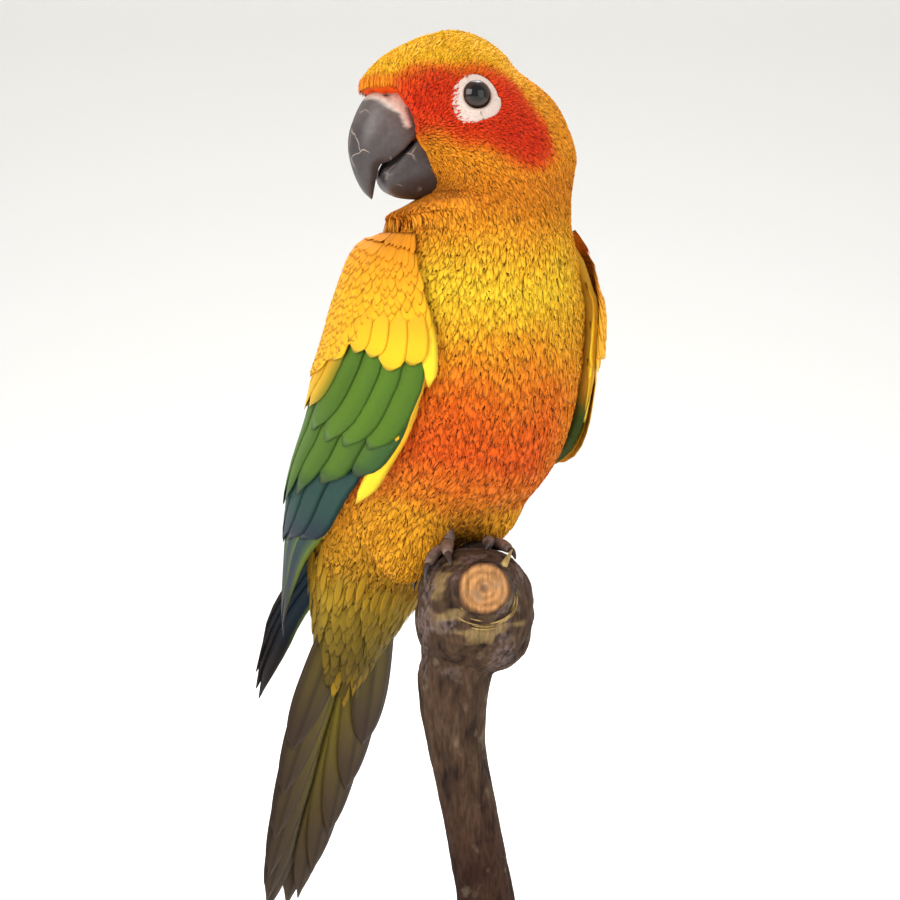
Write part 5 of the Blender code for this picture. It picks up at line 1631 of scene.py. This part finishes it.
# %% Shavings and a splinter
def shavings(rng):
    """Curled strips of pale wood below the cut face: short arcs along the knob, each a thin flat tube."""
    strips = []
    for _ in range(16):
        turn = rng.uniform(-2.6, -0.7)
        radius = rng.uniform(8.0, 12.5)
        bend = turn + np.linspace(0, rng.uniform(0.35, 0.9), 12)
        across = CUT_FACE[0] + radius * np.cos(bend)
        height = CUT_FACE[2] + 0.9 * radius * np.sin(bend)
        line = [onto_knob((x, -14.0, z), 0.35 + 0.5 * math.sin(2.2 * k / 11))
                for k, (x, z) in enumerate(zip(across, height))]
        size = rng.uniform(0.16, 0.3)
        strips.append(tube(line, size * np.sin(np.linspace(0.35, 2.8, 12)), 26, 8))
    root = np.array(CUT_FACE) + (5.0, 2.0, 5.5)
    line = root + np.linspace(0, 1, 6)[:, None] * np.array([2.4, -0.5, 4.6])
    strips.append(tube(line, np.linspace(1.1, 0.15, 6), 16, 10))
    points, faces = joined(strips)
    tone = blend("#b59a62", "#8f7440", np.clip(0.5 + noise(points, 2.0, 33), 0, 1))
    piece("perch_shavings", points, faces, dry_bark, "bark", tone)


shavings(np.random.default_rng(SEED + 7))


# %% Foot and claw finishes
foot_skin = bare_material("scaled foot skin", "#8f7468", 1300.0)
claw_horn = new_material("claw horn", "#3d3331", 0.35)[0]


def build_foot(word):
    """Shank and four toes as scaled tubes in one piece, and four claws as pieces of their own."""
    x, y = FOOT_PLACE[word]
    ground = onto_knob((x, y, KNOB_CENTRE[2] + KNOB_HALF[2]), 0.0)
    sole = ground + (0.3 + TOE_RADIUS[0]) * knob_normal(ground)
    ankle = sole + np.array([-1.2, 1.6, ANKLE_RISE])
    parts = [tube([sole, sole * 0.5 + ankle * 0.5, ankle], TARSUS_RADIUS * np.array([1.0, 0.92, 1.0]), 26,
                  20, 0.07, 1.1)]
    for number, (bearing, length) in enumerate(TOES[word], 1):
        reach = np.linspace(0, length, len(TOE_RADIUS))
        path = toe_walk(ground, bearing, reach, 0.42 + np.array(TOE_RADIUS))
        parts.append(tube(path, TOE_RADIUS, 34, 18, 0.08, 1.0))
        end = path[-1]
        ahead = unit(end - path[-2])
        away = knob_normal(end)
        away = unit(away - (away @ ahead) * ahead)
        bend = np.linspace(0, CLAW_BEND, 12)[:, None]
        arc = CLAW_LENGTH / CLAW_BEND
        claw = end + ahead * (0.1 + arc * np.sin(bend)) - away * arc * (1 - np.cos(bend))
        radius = np.interp(np.linspace(0, 1, 12), np.linspace(0, 1, 4), CLAW_RADIUS)
        piece(f"claw_{word}_horn_{number}", *closed_tube(tube(claw, radius, 22, 14)), claw_horn, "claw_horn",
              None, None, (f"claw_{word}_{number}",))
    points, faces = joined(parts)
    tone = blend("#8d7266", "#5d4a42", np.clip(0.5 + 0.6 * noise(points, 1.2, 31), 0, 1))
    piece(f"foot_{word}_skin", points, faces, foot_skin, "foot_skin", tone, None, (f"foot_{word}",))


build_foot("right")
build_foot("left")

# %% [markdown]
# ## The stand
# A flat disc of dark wood and a short steel rod hold the perch, so that the tail clears the base. Their
# solids have the right shape, so they stay and only get a finish.

# %% Stand finishes
def stand_wood():
    """Stained, waxed hardwood: fine grain along X, a satin gloss."""
    finish, add, give = new_material("waxed hardwood", roughness=0.38)
    stretch = add("Mapping", Vector=add("TexCoord"), Scale=(0.12, 1.0, 1.0))
    grain = add("TexNoise", Vector=stretch, Scale=420.0, Detail=5.0)
    share = add("MapRange", grain, 0.35, 0.65)
    give(Base_Color=mix(add, share, "#2e2018", "#4b3526"))
    return finish


brushed_steel = new_material("brushed steel", "#b8b8b6", 0.3, 1.0)[0]
for node, finish in (("stand_base", stand_wood()), ("stand_rod", brushed_steel)):
    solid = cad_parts[node]
    for slot in solid.material_slots:
        slot.material = finish
    if not solid.material_slots:
        solid.data.materials.append(finish)
    print(node, "finished")

# %% [markdown]
# ## Floor, light and camera
# A pale sweep of floor runs up behind the bird, so that no edge shows. Four large soft lights and a
# white sky give even studio light, brighter from the upper left as in the photograph. The camera stands
# level at the photograph's angle and keeps its framing.

# %% Backdrop
def build_backdrop():
    """A floor that bends up into a wall: a profile carried along X."""
    turn = np.linspace(0, np.pi / 2, 14)
    far, radius, tall = 1.6, 0.8, 3.2
    y = np.concatenate([[-3.0], far + radius * np.sin(turn), [far + radius]])
    z = np.concatenate([[0.0], radius - radius * np.cos(turn), [tall]]) - 0.0002
    x = np.linspace(-4.0, 4.0, 3)
    points = np.stack([np.repeat(x[None, :], len(y), 0), np.repeat(y[:, None], 3, 1),
                       np.repeat(z[:, None], 3, 1)], axis=-1)
    mesh = bpy.data.meshes.new("backdrop")
    mesh.from_pydata(points.reshape(-1, 3).tolist(), [], grid_faces(len(y), 3, False).tolist())
    mesh.shade_smooth()
    mesh.materials.append(new_material("pale paper", "#f7f6f3", 0.9)[0])
    obj = bpy.data.objects.new("backdrop", mesh)
    bpy.context.scene.collection.objects.link(obj)


build_backdrop()


# %% Lights and camera
# The bird's middle, the camera's height and distance, and the width it shows at the bird, all in metres
BIRD_MIDDLE = np.array([0.0, 0.0, 0.16])
CAMERA_HEIGHT = 0.150
CAMERA_AWAY = 0.65
SHOWN_WIDTH = 0.2385
SENSOR = 36.0


def soft_light(name, place_at, size, power, colour):
    """A square area light that looks at the bird."""
    light = bpy.data.lights.new(name, "AREA")
    light.size = size
    light.energy = power
    light.color = colour
    obj = bpy.data.objects.new(name, light)
    obj.location = place_at
    from_bird = unit(np.array(place_at) - BIRD_MIDDLE)
    bearing = math.atan2(from_bird[1], from_bird[0])
    obj.rotation_euler = (math.acos(from_bird[2]), 0.0, bearing + math.pi / 2)
    bpy.context.scene.collection.objects.link(obj)


WHITE = (1.0, 1.0, 1.0)
# Each light: its name, its place and its size in metres, its watts and its colour
for light in (("key", (-0.7, -1.2, 0.8), 0.9, 14.5, (1.0, 0.985, 0.96)),
              ("fill", (1.1, -0.9, 0.5), 1.0, 4.8, (0.97, 0.985, 1.0)),
              ("top", (0.1, 0.5, 1.4), 0.9, 7.5, WHITE),
              ("wall", (0.0, 0.9, 1.6), 1.2, 34.0, WHITE)):
    soft_light(*light)
world = bpy.data.worlds.new("studio")
world.use_nodes = True
sky = world.node_tree.nodes["Background"]
sky.inputs["Color"].default_value = (*WHITE, 1.0)
sky.inputs["Strength"].default_value = 0.56
bpy.context.scene.world = world
# The plain display curve shows each colour as it was measured, as a product photograph on white does
bpy.context.scene.view_settings.view_transform = "Standard"

camera = bpy.data.cameras.new("camera")
camera.sensor_width = SENSOR
camera.lens = SENSOR * CAMERA_AWAY / SHOWN_WIDTH
camera_object = bpy.data.objects.new("camera", camera)
camera_object.location = (0.0, -CAMERA_AWAY, CAMERA_HEIGHT)
camera_object.rotation_euler = (math.radians(90), 0.0, 0.0)
bpy.context.scene.collection.objects.link(camera_object)
bpy.context.scene.camera = camera_object
